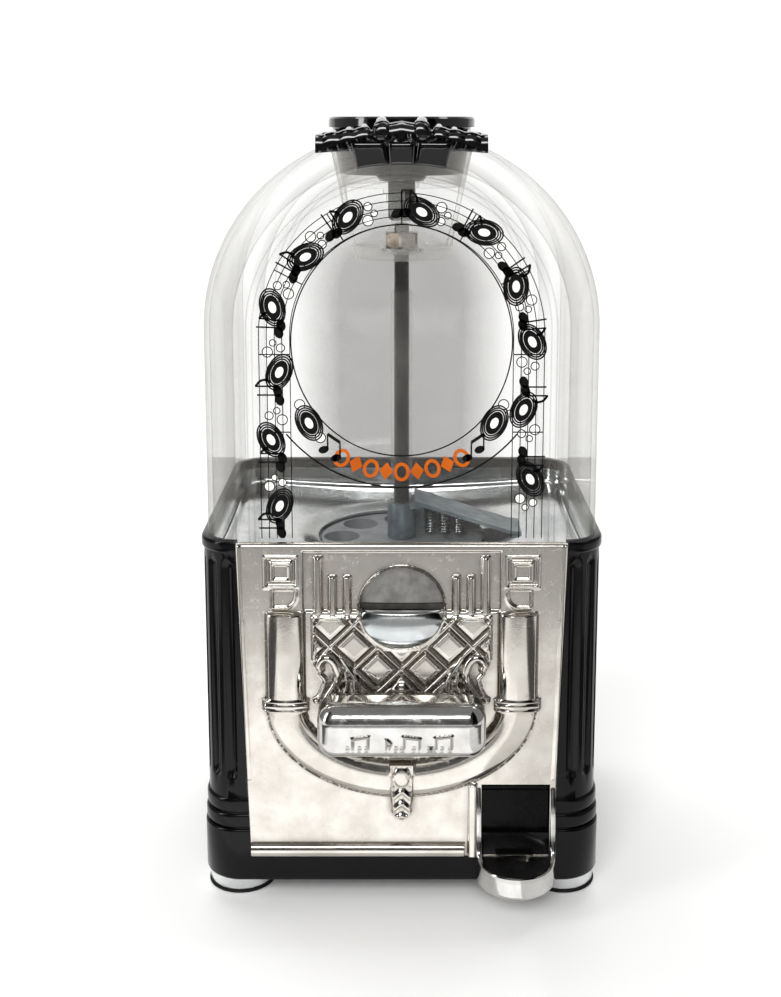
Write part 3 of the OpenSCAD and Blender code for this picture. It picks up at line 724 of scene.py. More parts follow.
@dataclass
class Lid:
    """Black lid: a disc, wings draped over the arch, and a faceted keystone at each end."""

    arch_z: float = 226.0
    rod_y: float = 10.0
    saddle: float = 74.9
    front: float = -55.8
    back: float = 75.9
    half_w: float = 31.0

    def rise(self, x: Array) -> Array:
        """Height of the wing's top surface along X: four stepped arcs falling to thin tips.

        Args:
            x: X of the points.

        Returns:
            Heights, shaped as x.
        """
        arch = self.arch_z + np.sqrt(np.maximum((self.saddle + 0.5) ** 2 - x * x, 0.0))
        across = np.abs(x)
        lens = 298.0 + 0.17 * (self.half_w - across)
        steps = 0.5 * np.abs(np.sin(across * 0.55)) * smooth((across - 9.0) / 4.0)
        lobe = 1.6 * np.sqrt(np.clip(1.0 - ((across - 7.4) / 2.8) ** 2, 0.0, 1.0))
        notch = 1.6 * smooth(1.0 - np.abs(across - 10.8) / 1.3)
        return np.clip(np.maximum(arch, lens) + steps + lobe - notch, 0.0, 304.6)

    def fold(self, y: Array) -> Array:
        """Drop of the draped edge: nothing inside, a quarter round at the front and back ends."""
        ahead = np.maximum(self.front + 4.6 - y, y - self.back + 3.4) / 4.6
        return 3.6 * (1.0 - np.sqrt(np.clip(1.0 - np.clip(ahead, 0.0, 1.0) ** 2, 0.0, 1.0)))

    def wings(self) -> Surface:
        """A curved sheet over the arch, ribbed across, closed under by the saddle surface.

        Returns:
            The closed sheet.
        """
        x = np.linspace(-self.half_w, self.half_w, 181)
        y = np.concatenate([np.linspace(self.front, self.front + 4.6, 12),
                            np.linspace(self.front + 5.2, self.back - 4.0, 40),
                            np.linspace(self.back - 3.4, self.back, 12)])
        gx, gy = np.meshgrid(x, y, indexing="ij")
        top = self.rise(gx) - self.fold(gy)
        end = smooth((np.abs(gy - self.rod_y) - 56.0) / 6.0)
        under = self.arch_z + np.sqrt((self.saddle - 0.2) ** 2 - gx * gx) - end * 2.0
        top = np.maximum(top, under + 0.5)
        return wall(np.stack([gx, gy, top], axis=2), np.stack([gx, gy, under], axis=2))

    def fascia(self, y: float, out: float) -> Surface:
        """The arched band below the wings at one end, rippled in arcs round a lobe on each side.

        Args:
            y: depth of its rear face.
            out: -1 to face forwards, 1 to face backwards.

        Returns:
            The closed band.
        """
        gu, gv = np.meshgrid(np.linspace(-1.0, 1.0, 181), np.linspace(0.0, 1.0, 49), indexing="ij")
        x = self.half_w * gu
        z = (self.rise(x) - 0.3) * (1.0 - gv) + (291.8 + 1.4 * (1.0 - gu * gu)) * gv
        ring = np.hypot(np.abs(x) - 7.6, (z - 298.6) * 1.15)
        ripple = 0.75 * np.abs(np.cos(ring * math.pi / 3.7)) * smooth((ring - 3.0) / 0.8)
        lobe = bead(ring, 3.0, 1.9)
        column = 1.2 * smooth(1.0 - np.abs(x) / 4.6)
        bevel = 1.9 * smooth(1.0 - (1.0 - np.abs(gu)) / 0.06) + 1.0 * smooth(1.0 - (1.0 - gv) / 0.12)
        depth = np.maximum(2.3 + np.maximum(ripple, lobe) - column - bevel, 0.4)
        face = np.stack([x, y + out * depth, z], axis=2)
        return wall(face, np.stack([x, np.full_like(x, y), z], axis=2))

    def keystone(self, y: float, out: float) -> Surface:
        """Three bulging facets side by side, hanging below the fascia.

        Args:
            y: depth of its rear face.
            out: -1 to face forwards, 1 to face backwards.

        Returns:
            The closed block.
        """
        gu, gv = np.meshgrid(np.linspace(-1.0, 1.0, 121), np.linspace(0.0, 1.0, 41), indexing="ij")
        x = (19.0 - 3.0 * gv) * gu
        z = 296.0 * (1.0 - gv) + (286.2 + 1.5 * (1.0 - gu * gu)) * gv
        seam = 5.4 / 19.0
        facet = np.where(np.abs(gu) < seam, gu / seam,
                         (np.abs(gu) - (1.0 + seam) / 2.0) / ((1.0 - seam) / 2.0))
        pillow = (np.clip(1.0 - facet ** 6, 0.0, 1.0) ** 0.5
                  * np.clip(1.0 - (2.0 * gv - 1.0) ** 6, 0.0, 1.0) ** 0.5)
        depth = 2.0 + pillow * (2.0 + 0.5 * (np.abs(gu) < seam) - 1.2 * gv)
        face = np.stack([x, y + out * depth, z], axis=2)
        return wall(face, np.stack([x, np.full_like(x, y), z], axis=2))

    def make(self) -> None:
        """Joins wings, disc, plug, lobes and keystones; the post is a piece of its own."""
        cap = revolve([(0.01, 305.0), (27.6, 305.0), (28.9, 304.7), (29.5, 304.0), (29.6, 303.2),
                       (29.6, 300.6),
                       (0.01, 300.0)], (0, self.rod_y, 0), 128)
        plug = revolve([(28.1, 300.6), (24.6, 282.0), (22.6, 282.0), (25.8, 299.0), (10.0, 299.0),
                        (10.0, 280.2),
                        (9.0, 279.0), (0.01, 279.0), (0.01, 300.6)], (0, self.rod_y, 0), 96)
        lobes = []
        for side in (-1.0, 1.0):
            for ledge, radius in ((7.4, 2.2), (13.6, 1.5), (19.2, 1.4), (24.8, 1.3), (29.6, 1.2)):
                x = side * ledge
                z = float(self.rise(np.array([x]))[0]) - 0.4 * radius
                ends = np.linspace(self.front + 2.6, self.back - 2.4, 24)
                path = np.stack([np.full(24, x), ends, np.full(24, z)], axis=1)
                size = np.sqrt(np.clip(1.0 - np.abs(np.linspace(-1.0, 1.0, 24)) ** 14, 0.05, 1.0))
                lobes.append(sweep(path, circle(radius, 14), (0, 0, 1), scale=size))
        ends = [shape(y, out) for y, out in ((self.front + 4.2, -1.0), (self.back - 4.3, 1.0))
                for shape in (self.fascia, self.keystone)]
        build("lid_moulding", join(self.wings(), cap, plug, *lobes, *ends), BLACK_LACQUER, Body.LID.value,
              "lid",
              sharp=32.0)
        post = [(0.01, 280.0), (5.6, 280.0), (5.6, 264.4), (4.9, 263.3), (4.2, 263.0), (0.01, 263.0)]
        build("lid_post", revolve(post, (0, self.rod_y, 0), 48), STEEL_ROD, Body.LID.value)


# ---------------------------------------------------------------- front plate


def strip(x: Array, z: Array, path: Sequence) -> Array:
    """Distance from each point to a chain of straight stretches.

    Args:
        x: X of the points.
        z: Z of the points.
        path: chain of (x, z).

    Returns:
        Distances, shaped as x.
    """
    nodes = np.asarray(path, float)
    best = np.full(x.shape, 1e3)
    for (ax, az), (bx, bz) in zip(nodes[:-1], nodes[1:]):
        dx, dz = bx - ax, bz - az
        t = np.clip(((x - ax) * dx + (z - az) * dz) / (dx * dx + dz * dz), 0.0, 1.0)
        best = np.minimum(best, np.hypot(x - ax - t * dx, z - az - t * dz))
    return best


def curve(nodes: Sequence, count: int = 40) -> Array:
    """A smooth chain through a few nodes, by Catmull-Rom.

    Args:
        nodes: places that the chain passes through.
        count: about how many points it gets.

    Returns:
        Array (n, 2) of points.
    """
    p = np.asarray(nodes, float)
    p = np.concatenate([[2 * p[0] - p[1]], p, [2 * p[-1] - p[-2]]])
    rows = []
    t = np.linspace(0.0, 1.0, max(count // (len(p) - 3), 3), endpoint=False)[:, None]
    for a, b, c, d in zip(p[:-3], p[1:-2], p[2:-1], p[3:]):
        rows.append(0.5 * (2 * b + (c - a) * t + (2 * a - 5 * b + 4 * c - d) * t ** 2
                           + (3 * b - a - 3 * c + d) * t ** 3))
    return np.concatenate(rows + [p[-2:-1]])


def pane(x: Array, z: Array, x0: float, x1: float, z0: float, z1: float) -> Array:
    """Signed distance to a rectangle, negative inside."""
    dx, dz = np.maximum(x0 - x, x - x1), np.maximum(z0 - z, z - z1)
    return np.where((dx > 0) & (dz > 0), np.hypot(dx, dz), np.maximum(dx, dz))


def inside(distance: Array, soft: float = 0.5) -> Array:
    """1 where a signed distance is negative, 0 where it is positive, with a bevel between."""
    return smooth(0.5 - distance / soft)


def bead(distance: Array, half: float, height: float) -> Array:
    """A ridge of round section: half its width on each side of the line."""
    return height * np.sqrt(np.clip(1.0 - (distance / half) ** 2, 0.0, 1.0))


def over(height: Array, feature: Array) -> Array:
    """Lays a raised feature over a height field and leaves the rest, hollows too, as it is."""
    return np.where(feature > 0.03, np.maximum(height, feature), height)


@dataclass
class FrontPlate:
    """Die-cast front: a height field of panels, rings, lattice, scrolls and a half-round tube."""

    face: float = -56.0
    rear: float = -53.5
    low: float = 19.7
    high: float = 146.6
    pitch: float = 0.46
    coin_z: float = 121.3
    coin_r: float = 15.9
    spout_x: float = 44.2
    arm_x: float = 15.7
    slot_half: float = 2.2
    slot_low: float = 61.0
    slot_high: float = 87.2
    mouth_half: float = 13.3
    mouth_low: float = 20.4
    mouth_high: float = 49.8
    bend_z: float = 83.0
    tube_head: float = 119.4

    @staticmethod
    def half_width(z: float) -> float:
        """Half the plate's width at a height: 59.4 at the foot, 63 at the head."""
        return 59.4 + 3.6 * (z - 19.7) / 126.9

    def lines(self, low: float, high: float, exact: Sequence[float]) -> Array:
        """Even grid lines, the nearest one moved onto each exact place.

        Args:
            low: the first line.
            high: the last line.
            exact: places that need a line of their own.

        Returns:
            The lines, rising.
        """
        rows = np.linspace(low, high, int((high - low) / self.pitch) + 1)
        for place in exact:
            rows[np.argmin(np.abs(rows - place))] = place
        return rows

    def top_band(self, x: Array, z: Array) -> Array:
        """Recess beside the coin slot with three bars a side, and the squares outside it.

        Args:
            x: X of the points.
            z: Z of the points.

        Returns:
            Height at each point, in millimetres.
        """
        a = np.abs(x)
        relief = -1.3 * inside(pane(a, z, -38.0, 37.4, 119.9, 143.5))
        for centre, half, head in ((31.7, 1.5, 141.2), (26.2, 1.4, 133.6), (20.6, 1.3, 133.6)):
            bar = pane(a, z, centre - half, centre + half, 118.0, head)
            relief = np.maximum(relief, 1.3 * inside(bar, 0.5) - 1.3)
            relief += bead(strip(a, z, [(centre, 119.0), (centre, head - 0.9)]), 1.0, 0.35)
        box = pane(a, z, 39.1, 52.1, 129.1, 142.1)
        relief += 0.5 * inside(box, 0.6) - 1.1 * inside(box + 1.0, 0.6)
        ring = pane(a, z, 41.5, 49.7, 131.5, 139.7)
        relief += 1.1 * inside(ring, 0.6) - 0.9 * inside(ring + 1.45, 0.6)
        tile = pane(a, z, 39.4, 49.4, 120.9, 129.3)
        corner = np.hypot(a - 44.6, z - 126.1) - 5.2
        tile = np.where((a < 44.6) & (z < 126.1), corner, tile)
        relief += (0.5 * inside(tile, 0.6) - 0.9 * inside(tile + 0.9, 0.6)) * (z < 129.0)
        return relief

    def lattice(self, x: Array, z: Array) -> Array:
        """Crossed diagonal ridges with raised lozenges between them.

        Args:
            x: X of the points.
            z: Z of the points.

        Returns:
            Height at each point, in millimetres.
        """
        step, mid = 18.1, 96.6
        narrow = np.where(z > 102.5, 33.6, 24.0 + 0.10 * (z - 84.0))
        area = inside(pane(x, z, -34.6, 34.6, 84.0, 117.4), 0.8)
        scroll = smooth((narrow - np.abs(x)) / 0.8)
        first = (x + z - mid + 0.5 * step) % step - 0.5 * step
        second = (x - z + mid + 0.5 * step) % step - 0.5 * step
        near = np.minimum(np.abs(first), np.abs(second)) / math.sqrt(2.0)
        cross = bead(near, 0.8, 1.0)
        groove = -0.75 * smooth(1.0 - np.abs(near - 1.3) / 0.6)
        lozenge = 0.75 * smooth((near - 1.7) / 0.5) - 0.35 - 0.3 * smooth(1.0 - np.abs(near - 2.7) / 0.4)
        frame_edge = bead(pane(x, z, -34.0, 34.0, 60.0, 118.2) + 0.6, 0.8, 0.9) * (z > 100.0)
        return (cross + groove + lozenge) * area * scroll + frame_edge

    def scrolls(self, x: Array, z: Array) -> Array:
        """S-shaped ridges with beads at both sides of the lattice.

        Args:
            x: X of the points.
            z: Z of the points.

        Returns:
            Height at each point, in millimetres.
        """
        a = np.abs(x)
        neck = curve([(31.6, 98.8), (30.4, 101.0), (27.6, 101.4), (25.3, 99.0), (24.3, 94.6), (25.9, 90.2),
                      (28.7, 85.6), (29.8, 81.0)])
        inner = curve([(31.0, 95.0), (29.2, 92.4), (30.2, 88.6), (31.8, 85.2)])
        blade = curve([(23.0, 101.6), (20.2, 97.0), (17.8, 92.8), (17.0, 87.4)])
        relief = np.maximum(bead(strip(a, z, neck), 1.75, 2.0), bead(strip(a, z, inner), 0.75, 1.0))
        relief = np.maximum(relief, bead(strip(a, z, blade), 1.1, 1.3))
        relief = np.maximum(relief,
                            bead(strip(a, z, curve([(21.6, 96.0), (20.8, 91.4), (21.6, 86.8)])), 0.9, 1.0))
        for bx, bz, br in ((31.0, 97.2, 1.5), (32.4, 84.4, 1.4)):
            relief = np.maximum(relief, bead(np.hypot(a - bx, z - bz), br, 1.9))
        return relief

    def tube(self, x: Array, z: Array) -> tuple[Array, Array]:
        """The half-round tube: straight legs joined by an elliptical bend, with collars.

        Args:
            x: X of the points.
            z: Z of the points.

        Returns:
            Its height, and -1 to 1 across its width (beyond 1 outside it).
        """
        a = np.abs(x)
        angle = np.arctan2(self.bend_z - z, a)
        reach = np.hypot(a, self.bend_z - z)
        outer = 1.0 / np.sqrt((np.cos(angle) / 51.5) ** 2 + (np.sin(angle) / 37.5) ** 2)
        inner = 1.0 / np.sqrt((np.cos(angle) / 37.2) ** 2 + (np.sin(angle) / 23.5) ** 2)
        bend = (2.0 * reach - outer - inner) / (outer - inner)
        across = np.where(z >= self.bend_z, (a - 44.35) / 7.15, bend)
        height = 3.1 * np.sqrt(np.clip(1.0 - across ** 2, 0.0, 1.0)) * inside(z - self.tube_head, 0.6)
        collar = inside(pane(a, z, 35.5, 52.8, 80.4, 85.0), 0.5)
        lip = 1.0 - 0.5 * smooth(1.0 - np.abs(np.abs(z - 82.7) - 1.1) / 0.5)
        return np.maximum(height,
                          collar * (2.6 * np.sqrt(np.clip(1.05 - ((a - 44.2) / 8.9) ** 2, 0.0, 1.0)) + 0.7)
                          * lip), across

    def leaf(self, x: Array, z: Array) -> Array:
        """A hanging leaf of nested chevrons under a smooth oval.

        Args:
            x: X of the points.
            z: Z of the points.

        Returns:
            Height at each point, in millimetres.
        """
        half = 3.2 + 1.8 * np.clip((z - 36.4) / 23.3, 0.0, 1.0)
        edge = np.maximum(np.abs(x) - half, np.maximum(36.4 + 0.7 * np.abs(x) - z, z - 59.7))
        fold = (z + 0.9 * np.abs(x) - 36.4) % 5.0
        chevron = 1.0 * smooth(1.0 - np.abs(fold - 2.5) / 2.0)
        rib = bead(np.abs(x), 0.5, 0.4)
        oval = bead(np.hypot(x / 3.2, (z - 54.6) / 4.6), 1.0, 1.4)
        frame_line = bead(edge + 0.55, 0.55, 0.8)
        middle = np.where(z < 50.2, chevron + rib, oval)
        return inside(edge, 0.7) * (3.0 + np.maximum(middle, frame_line))

    def relief(self, x: Array, z: Array) -> Array:
        """Height of the plate's front over its face, in millimetres outwards.

        Args:
            x: X of the points.
            z: Z of the points.

        Returns:
            Height at each point, in millimetres.
        """
        height = self.top_band(x, z) + self.lattice(x, z)
        height = over(height, self.scrolls(x, z))
        round_tube, across = self.tube(x, z)
        beside = (np.abs(across) > 1.0) & (z < self.tube_head)
        groove = 0.7 * smooth(1.0 - (np.abs(across) - 1.0) / 0.10) * beside
        height = np.where(round_tube > 0.05, np.maximum(height, round_tube), height - groove)
        height = over(height, self.leaf(x, z))
        height = over(height, bead(np.hypot(x, z - 87.7), 4.4, 2.0))
        ledge = pane(x, z, -58.6, 24.5, 20.0, 25.6)
        height = np.where(ledge < 0.0, 2.6 * np.sqrt(np.clip(1.0 - ((z - 22.8) / 3.0) ** 2, 0.05, 1.0)),
                          height)
        height = over(height, 1.4 * inside(pane(x, z, 26.0, 28.9, 19.9, 50.0), 0.5))
        bezel = np.hypot(x, z - self.coin_z) - self.coin_r
        crescent = inside(np.hypot(x, z - self.coin_z + 1.6) - self.coin_r - 0.7, 0.5)
        height = height * smooth((bezel - 0.1) / 0.5)
        height = np.where(crescent > 0.5, 0.35 + bead(bezel - 0.5, 0.5, 0.3), height)
        rim = self.half_width(z) - np.abs(x)
        edge = np.minimum(rim, np.minimum(self.high - z, z - self.low + 0.6))
        border = bead(np.abs(rim - 1.3), 1.0, 0.5) * (z > 52.0)
        return height + border - 1.1 * smooth(1.0 - edge / 0.9)

    def make(self) -> None:
        """Raises the grid, cuts the openings, closes the back and marks painted shade in hollows and on steep
        relief sides, where it also stands for patina.
        """
        slot = self.arm_x - self.slot_half, self.arm_x + self.slot_half
        mouth = self.spout_x - self.mouth_half, self.spout_x + self.mouth_half
        xs = self.lines(-63.0, 63.0, [-slot[1], -slot[0], slot[0], slot[1], mouth[0], mouth[1]])
        zs = self.lines(self.low, self.high, [self.slot_low, self.slot_high, self.mouth_low, self.mouth_high])
        gx, gz = np.meshgrid(xs, zs, indexing="ij")
        spread = np.sign(gx) * np.maximum(np.abs(gx) - 58.0, 0.0) * (1.0 - (self.half_width(gz) - 58.0) / 5.0)
        gx = gx - spread
        away = np.hypot(gx, gz - self.coin_z)
        near = np.abs(away - self.coin_r) < 0.62 * self.pitch
        pull = np.where(near, self.coin_r / np.maximum(away, 1e-6), 1.0)
        gx, gz = gx * pull, self.coin_z + (gz - self.coin_z) * pull
        height = self.relief(gx, gz)
        mx, mz = (gx[1:, 1:] + gx[:-1, :-1]) / 2.0, (gz[1:, 1:] + gz[:-1, :-1]) / 2.0
        hole = np.hypot(mx, mz - self.coin_z) < self.coin_r
        beside_arm = np.abs(np.abs(mx) - self.arm_x) < self.slot_half
        hole |= beside_arm & (mz > self.slot_low) & (mz < self.slot_high)
        hole |= (mx > mouth[0]) & (mx < mouth[1]) & (mz > self.mouth_low) & (mz < self.mouth_high)
        # painted shade: hollows (the blurred height above the height) and steep relief sides are darkened; in
        # the hollows the same mark also stands for the casting's patina
        blur = height.copy()
        for reach in (1, 2, 4):
            padded = np.pad(blur, reach, mode="edge")
            blur = (padded[2 * reach:, reach:-reach] + padded[:-2 * reach, reach:-reach]
                    + padded[reach:-reach, 2 * reach:] + padded[reach:-reach, :-2 * reach]) / 4.0
        slope = np.hypot(*np.gradient(height, self.pitch))
        grime = np.clip(0.35 * smooth((slope - 0.9) / 2.4) + 0.55 * np.clip(blur - height - 0.04, 0.0, 1.0),
                        0.0, 0.6)
        tubing = self.tube(gx, gz)[0] > 0.2
        ledge = ((gz < 25.8) & (gx < 24.6)) | tubing
        polish = np.clip(1.1 * (height - blur) + 0.45 * smooth(height / 2.0) + 0.6 * ledge, 0.0, 1.0)
        marks = {"grime": grime.ravel(), "polish": polish.ravel()}
        front = skin(np.stack([gx, self.face - height, gz], axis=2))
        kept = ~hole.ravel()
        surface = Surface(front.verts, front.quads[kept], (), marks)
        build("front_plate", surface, CAST_SATIN, Body.ROOT.value, "front_panel", sharp=70.0, back=self.rear)


# ---------------------------------------------------------------- parts on the front


@dataclass
class PushBar:
    """Polished loaf-shaped bar on two arms that turn on a pin inside the base."""

    half_w: float = 31.6
    front: float = -76.0
    back: float = -58.5
    low: float = 68.6
    high: float = 88.8
    corner: float = 6.6
    rise: float = 2.4
    end_round: float = 6.5
    arm_x: float = 15.7
    arm_t: float = 3.0
    pivot: tuple[float, float] = (-28.0, 60.0)

    def emboss(self, x: Array, z: Array) -> Array:
        """Outlined notes of my own arrangement: rings for heads, lines for stems and beams.

        Args:
            x: X of the points.
            z: Z of the points.

        Returns:
            Height at each point, in millimetres.
        """
        relief = np.zeros(x.shape)
        heads = ((-20.0, 72.4), (-14.4, 73.2), (-7.6, 72.2), (-1.0, 73.2), (4.6, 72.4), (10.8, 72.8),
                 (16.4, 73.4))
        for hx, hz in heads:
            ring = np.abs(np.hypot((x - hx) / 1.25, z - hz) - 1.35)
            relief = np.maximum(relief, bead(ring, 0.45, 0.6))
            relief = np.maximum(relief, bead(strip(x, z, [(hx + 1.9, hz), (hx + 1.9, hz + 5.6)]), 0.48, 0.5))
        for first, second in ((0, 1), (3, 4), (5, 6)):
            (ax, az), (bx, bz) = heads[first], heads[second]
            bar = [(ax + 1.9, az + 5.6), (bx + 1.9, bz + 5.6)]
            relief = np.maximum(relief, bead(strip(x, z, bar), 0.75, 0.5))
        hx, hz = heads[2]
        tail = curve([(hx + 1.9, hz + 5.6), (hx + 3.4, hz + 4.0), (hx + 3.0, hz + 2.2)], 12)
        return np.maximum(relief, bead(strip(x, z, tail), 0.48, 0.5))

    def bar(self) -> Surface:
        """A rounded-rectangle section carried along X, its outline drawn in at the round ends.

        Returns:
            The closed bar, its raised notes marked with painted shade.
        """
        side = self.half_w - self.end_round
        turn = np.linspace(0.0, math.pi / 2, 9)
        bend = side + self.end_round * np.sin(turn)
        xs = np.concatenate([-bend[::-1], np.linspace(-side, side, 124)[1:-1], bend])
        mid_z, half_z = (self.low + self.high) / 2.0, (self.high - self.low) / 2.0
        rows = []
        for x in xs:
            past = max(abs(x) - side, 0.0)
            draw = self.end_round - math.sqrt(max(self.end_round ** 2 - past ** 2, 0.0))
            line = rounded(half_z - draw, self.front + draw, self.back - draw, max(self.corner - draw, 0.4),
                           10, 40)
            rows.append(np.column_stack([np.full(len(line), x), line[:, 1], mid_z + line[:, 0]]))
        grid = np.stack(rows)
        depth = (grid[..., 1] - self.front) / (self.back - self.front)
        grid[..., 2] += self.rise * depth * (grid[..., 2] - self.low) / (self.high - self.low)
        facing = grid[..., 1] < self.front + 0.2
        raised = self.emboss(grid[..., 0], grid[..., 2]) * facing
        grid[..., 1] -= raised
        # painted shade: the raised notes are darkened so they read as dark outlines
        shade_and_patina_mask = 0.6 * smooth(raised / 0.12).ravel()
        return cap_ends(skin(grid, close_v=True), grid.shape[1], {"grime": shade_and_patina_mask})

    def arms(self) -> Surface:
        """Two flat arms, a bored hub and the tail that moves the pusher.

        Returns:
            Arms, tail and hub as one surface.
        """
        y, z = self.pivot
        arm = np.array([(-60.0, 71.0), (-60.0, 85.5), (-52.0, 86.0), (y - 12.0, 76.0), (y + 3.4, z + 2.0),
                        (y + 1.0, z - 4.4), (y - 5.0, z - 3.4), (-54.0, 69.5)])
        tail = np.array([(y - 4.0, z), (y + 4.0, z), (y + 1.6, 100.0), (y + 0.9, 101.6), (y - 0.9, 101.6),
                         (y - 1.6, 100.0)])
        half = self.arm_t / 2.0
        parts = [prism(arm, side * self.arm_x - half, side * self.arm_x + half, "YZ") for side in (-1.0, 1.0)]
        parts.append(prism(tail, -self.arm_x - half + 0.05, -self.arm_x + half - 0.05, "YZ"))
        parts.append(revolve([(2.53, -18.5), (4.4, -18.5), (4.8, -18.0), (4.8, 18.0), (4.4, 18.5),
                              (2.53, 18.5)],
                             (0.0, y, z), 48, "X"))
        return join(*parts)

    def make(self) -> None:
        """The bar stands for the whole lever; its arms are a second piece."""
        build("push_bar_loaf", self.bar(), CAST_BUFFED, Body.PUSH_BAR.value, "push_lever", sharp=60.0)
        build("push_bar_arms", self.arms(), CAST_SATIN, Body.PUSH_BAR.value)


@dataclass
class Spout:
    """Cast tray with a U-shaped plan, its rim dropping steeply from the plate to the front lip."""

    x: float = 44.2
    front: float = -75.6
    back: float = -56.0
    outer: float = 15.2
    inner: float = 13.5
    foot: float = 12.2
    floor: float = 20.0

    def rim(self, y: Array) -> Array:
        """Height of the rim at a depth.

        Args:
            y: depths.

        Returns:
            Heights, shaped as y.
        """
        knots = curve([(-76.0, 21.6), (-68.0, 21.6), (-63.0, 24.4), (-60.6, 29.6), (-58.6, 41.0),
                       (-56.0, 48.6)], 60)
        return np.interp(y, knots[:, 0], knots[:, 1])

    def make(self) -> None:
        """A profile of radius and height carried along the U, with capped ends at the plate."""
        centre_y = self.front + self.outer
        side_y = np.linspace(self.back, centre_y, 12)[:-1]
        turn = np.linspace(math.pi, 2.0 * math.pi, 61)
        spine = np.concatenate([side_y, np.full(61, centre_y), side_y[::-1]])
        nx = np.concatenate([np.full(11, -1.0), np.cos(turn), np.full(11, 1.0)])
        ny = np.concatenate([np.zeros(11), np.sin(turn), np.zeros(11)])
        shares = np.linspace(0.0, 1.0, 14)
        r = np.concatenate([[0.0, 10.0, self.outer - 1.6, self.outer - 0.5], np.full(14, self.outer),
                            [self.outer - 0.25, self.outer - 0.85, self.inner + 0.25],
                            np.full(10, self.inner),
                            [self.inner - 0.3, self.inner - 1.2, self.inner - 1.5, 8.0, 0.0]])
        edge = self.rim(spine[:, None] + ny[:, None] * self.outer)
        low = np.full_like(edge, self.foot)
        ground = np.full_like(edge, self.floor)
        wall_z = self.foot + 1.4 + (edge - 0.5 - self.foot - 1.4) * shares[None, :]
        fall_z = self.floor + 1.2 + (edge - 0.5 - self.floor - 1.2) * np.linspace(1.0, 0.0, 10)[None, :]
        z = np.concatenate([low, low, low, low + 0.45, wall_z, edge - 0.12, edge, edge - 0.12, fall_z,
                            ground + 0.35, ground, ground, ground, ground], axis=1)
        grid = np.stack([self.x + nx[:, None] * r[None, :], spine[:, None] + ny[:, None] * r[None, :], z],
                        axis=2)
        # painted shade: the tray's floor and the foot of its inner wall are darkened
        shade_and_patina_mask = smooth((23.0 - grid[..., 2]) / 3.0) * smooth((grid[..., 2] - 19.0) / 1.0) * 0.15
        tray = cap_ends(skin(grid, close_v=True), grid.shape[1], {"grime": shade_and_patina_mask.ravel()})
        build("spout_tray", tray, CAST_BUFFED, Body.ROOT.value, "spout", sharp=40.0)


@dataclass
class SpoutFlap:
    """Black door that hangs from a pin inside the spout."""

    x: float = 44.2
    half_w: float = 12.85
    y: float = -52.6
    pin_z: float = 48.0
    low: float = 24.05
    thick: float = 1.5

    def make(self) -> None:
        """A slightly bowed plate with rounded lower corners and a bored barrel on top."""
        u = np.linspace(-1.0, 1.0, 41)
        v = np.linspace(0.0, 1.0, 41)
        gu, gv = np.meshgrid(u, v, indexing="ij")
        lift = 1.6 * smooth((np.abs(gu) - 0.86) / 0.14) ** 2
        z = self.low + lift * (1.0 - gv) + (self.pin_z - 1.6 - self.low) * gv
        bow = 0.35 * (1.0 - gu ** 2) * (1.0 - gv ** 2)
        rib = 0.35 * smooth(1.0 - np.abs(gv - 0.05) / 0.05)
        x = self.x + gu * self.half_w
        face = np.stack([x, self.y - self.thick / 2 - bow - rib, z], axis=2)
        rear = np.stack([x, np.full_like(x, self.y + self.thick / 2), z], axis=2)
        barrel = revolve([(1.03, -12.85), (1.8, -12.85), (2.0, -12.6), (2.0, 12.6), (1.8, 12.85),
                          (1.03, 12.85)],
                         (self.x, self.y, self.pin_z), 40, "X")
        build("spout_door", join(wall(face, rear), barrel), FLAP_BLACK, Body.FLAP.value, "spout_flap")


@dataclass
class CoinEntry:
    """Round coin recess: a domed lip below the slot and a dull half-moon plate above it."""

    radius: float = 15.85
    z: float = 121.3
    face: float = -56.0
    lip_top: float = 120.3
    plate_low: float = 121.7

    def half_moon(self, low: float, high: float, depth: float, dome: float, back: float, crown: float = 121.3,
                  tall: float = 15.85) -> Surface:
        """A slice of a disc between two heights, domed forwards, its long edges rolled.

        Args:
            low: height of its lower edge.
            high: height of its upper edge.
            depth: depth of its front before it is domed.
            dome: how far it bulges forwards.
            back: depth of its rear face.
            crown: height of the middle of the dome.
            tall: how far the dome reaches above and below that.

        Returns:
            The closed slice.
        """
        t = np.linspace(0.0, 1.0, 41)
        s = np.linspace(-1.0, 1.0, 65)
        gs, gt = np.meshgrid(s, t, indexing="ij")
        z = low + (high - low) * gt
        half = np.sqrt(np.maximum(self.radius ** 2 - (z - self.z) ** 2, 0.04))
        x = gs * half
        rho = np.hypot(x / self.radius, (z - crown) / tall)
        roll = 0.9 * (smooth(1.0 - (high - z) / 0.9) ** 2 + smooth(1.0 - (z - low) / 0.9) ** 2)
        y = depth - dome * np.sqrt(np.clip(1.0 - 0.86 * rho ** 2, 0.0, 1.0)) + roll
        rear = np.full_like(y, back)
        return wall(np.stack([x, np.minimum(y, back - 0.2), z], axis=2), np.stack([x, rear, z], axis=2))

    def make(self) -> None:
        """The lip, and the back plate with the half-moon in front of it."""
        lip = self.half_moon(self.z - self.radius + 0.15, self.lip_top, self.face + 1.4, 4.2,
                             self.face + 2.2, 115.0,
                             9.9)
        build("coin_lip_polished", lip, TIN_SHEET, Body.ROOT.value, "coin_lip", sharp=50.0)
        moon = self.half_moon(self.plate_low, self.z + self.radius - 0.15, -52.0, 1.2, -51.0)
        disc = revolve([(0.01, -49.6), (17.0, -49.6), (17.4, -49.2), (17.4, -48.8), (17.0, -48.4),
                        (0.01, -48.4)],
                       (0.0, 0.0, self.z), 72, "Y")
        build("coin_plate_dull", join(moon, disc), GREY_PLATE, Body.ROOT.value, "coin_backplate")


# ---------------------------------------------------------------- dome


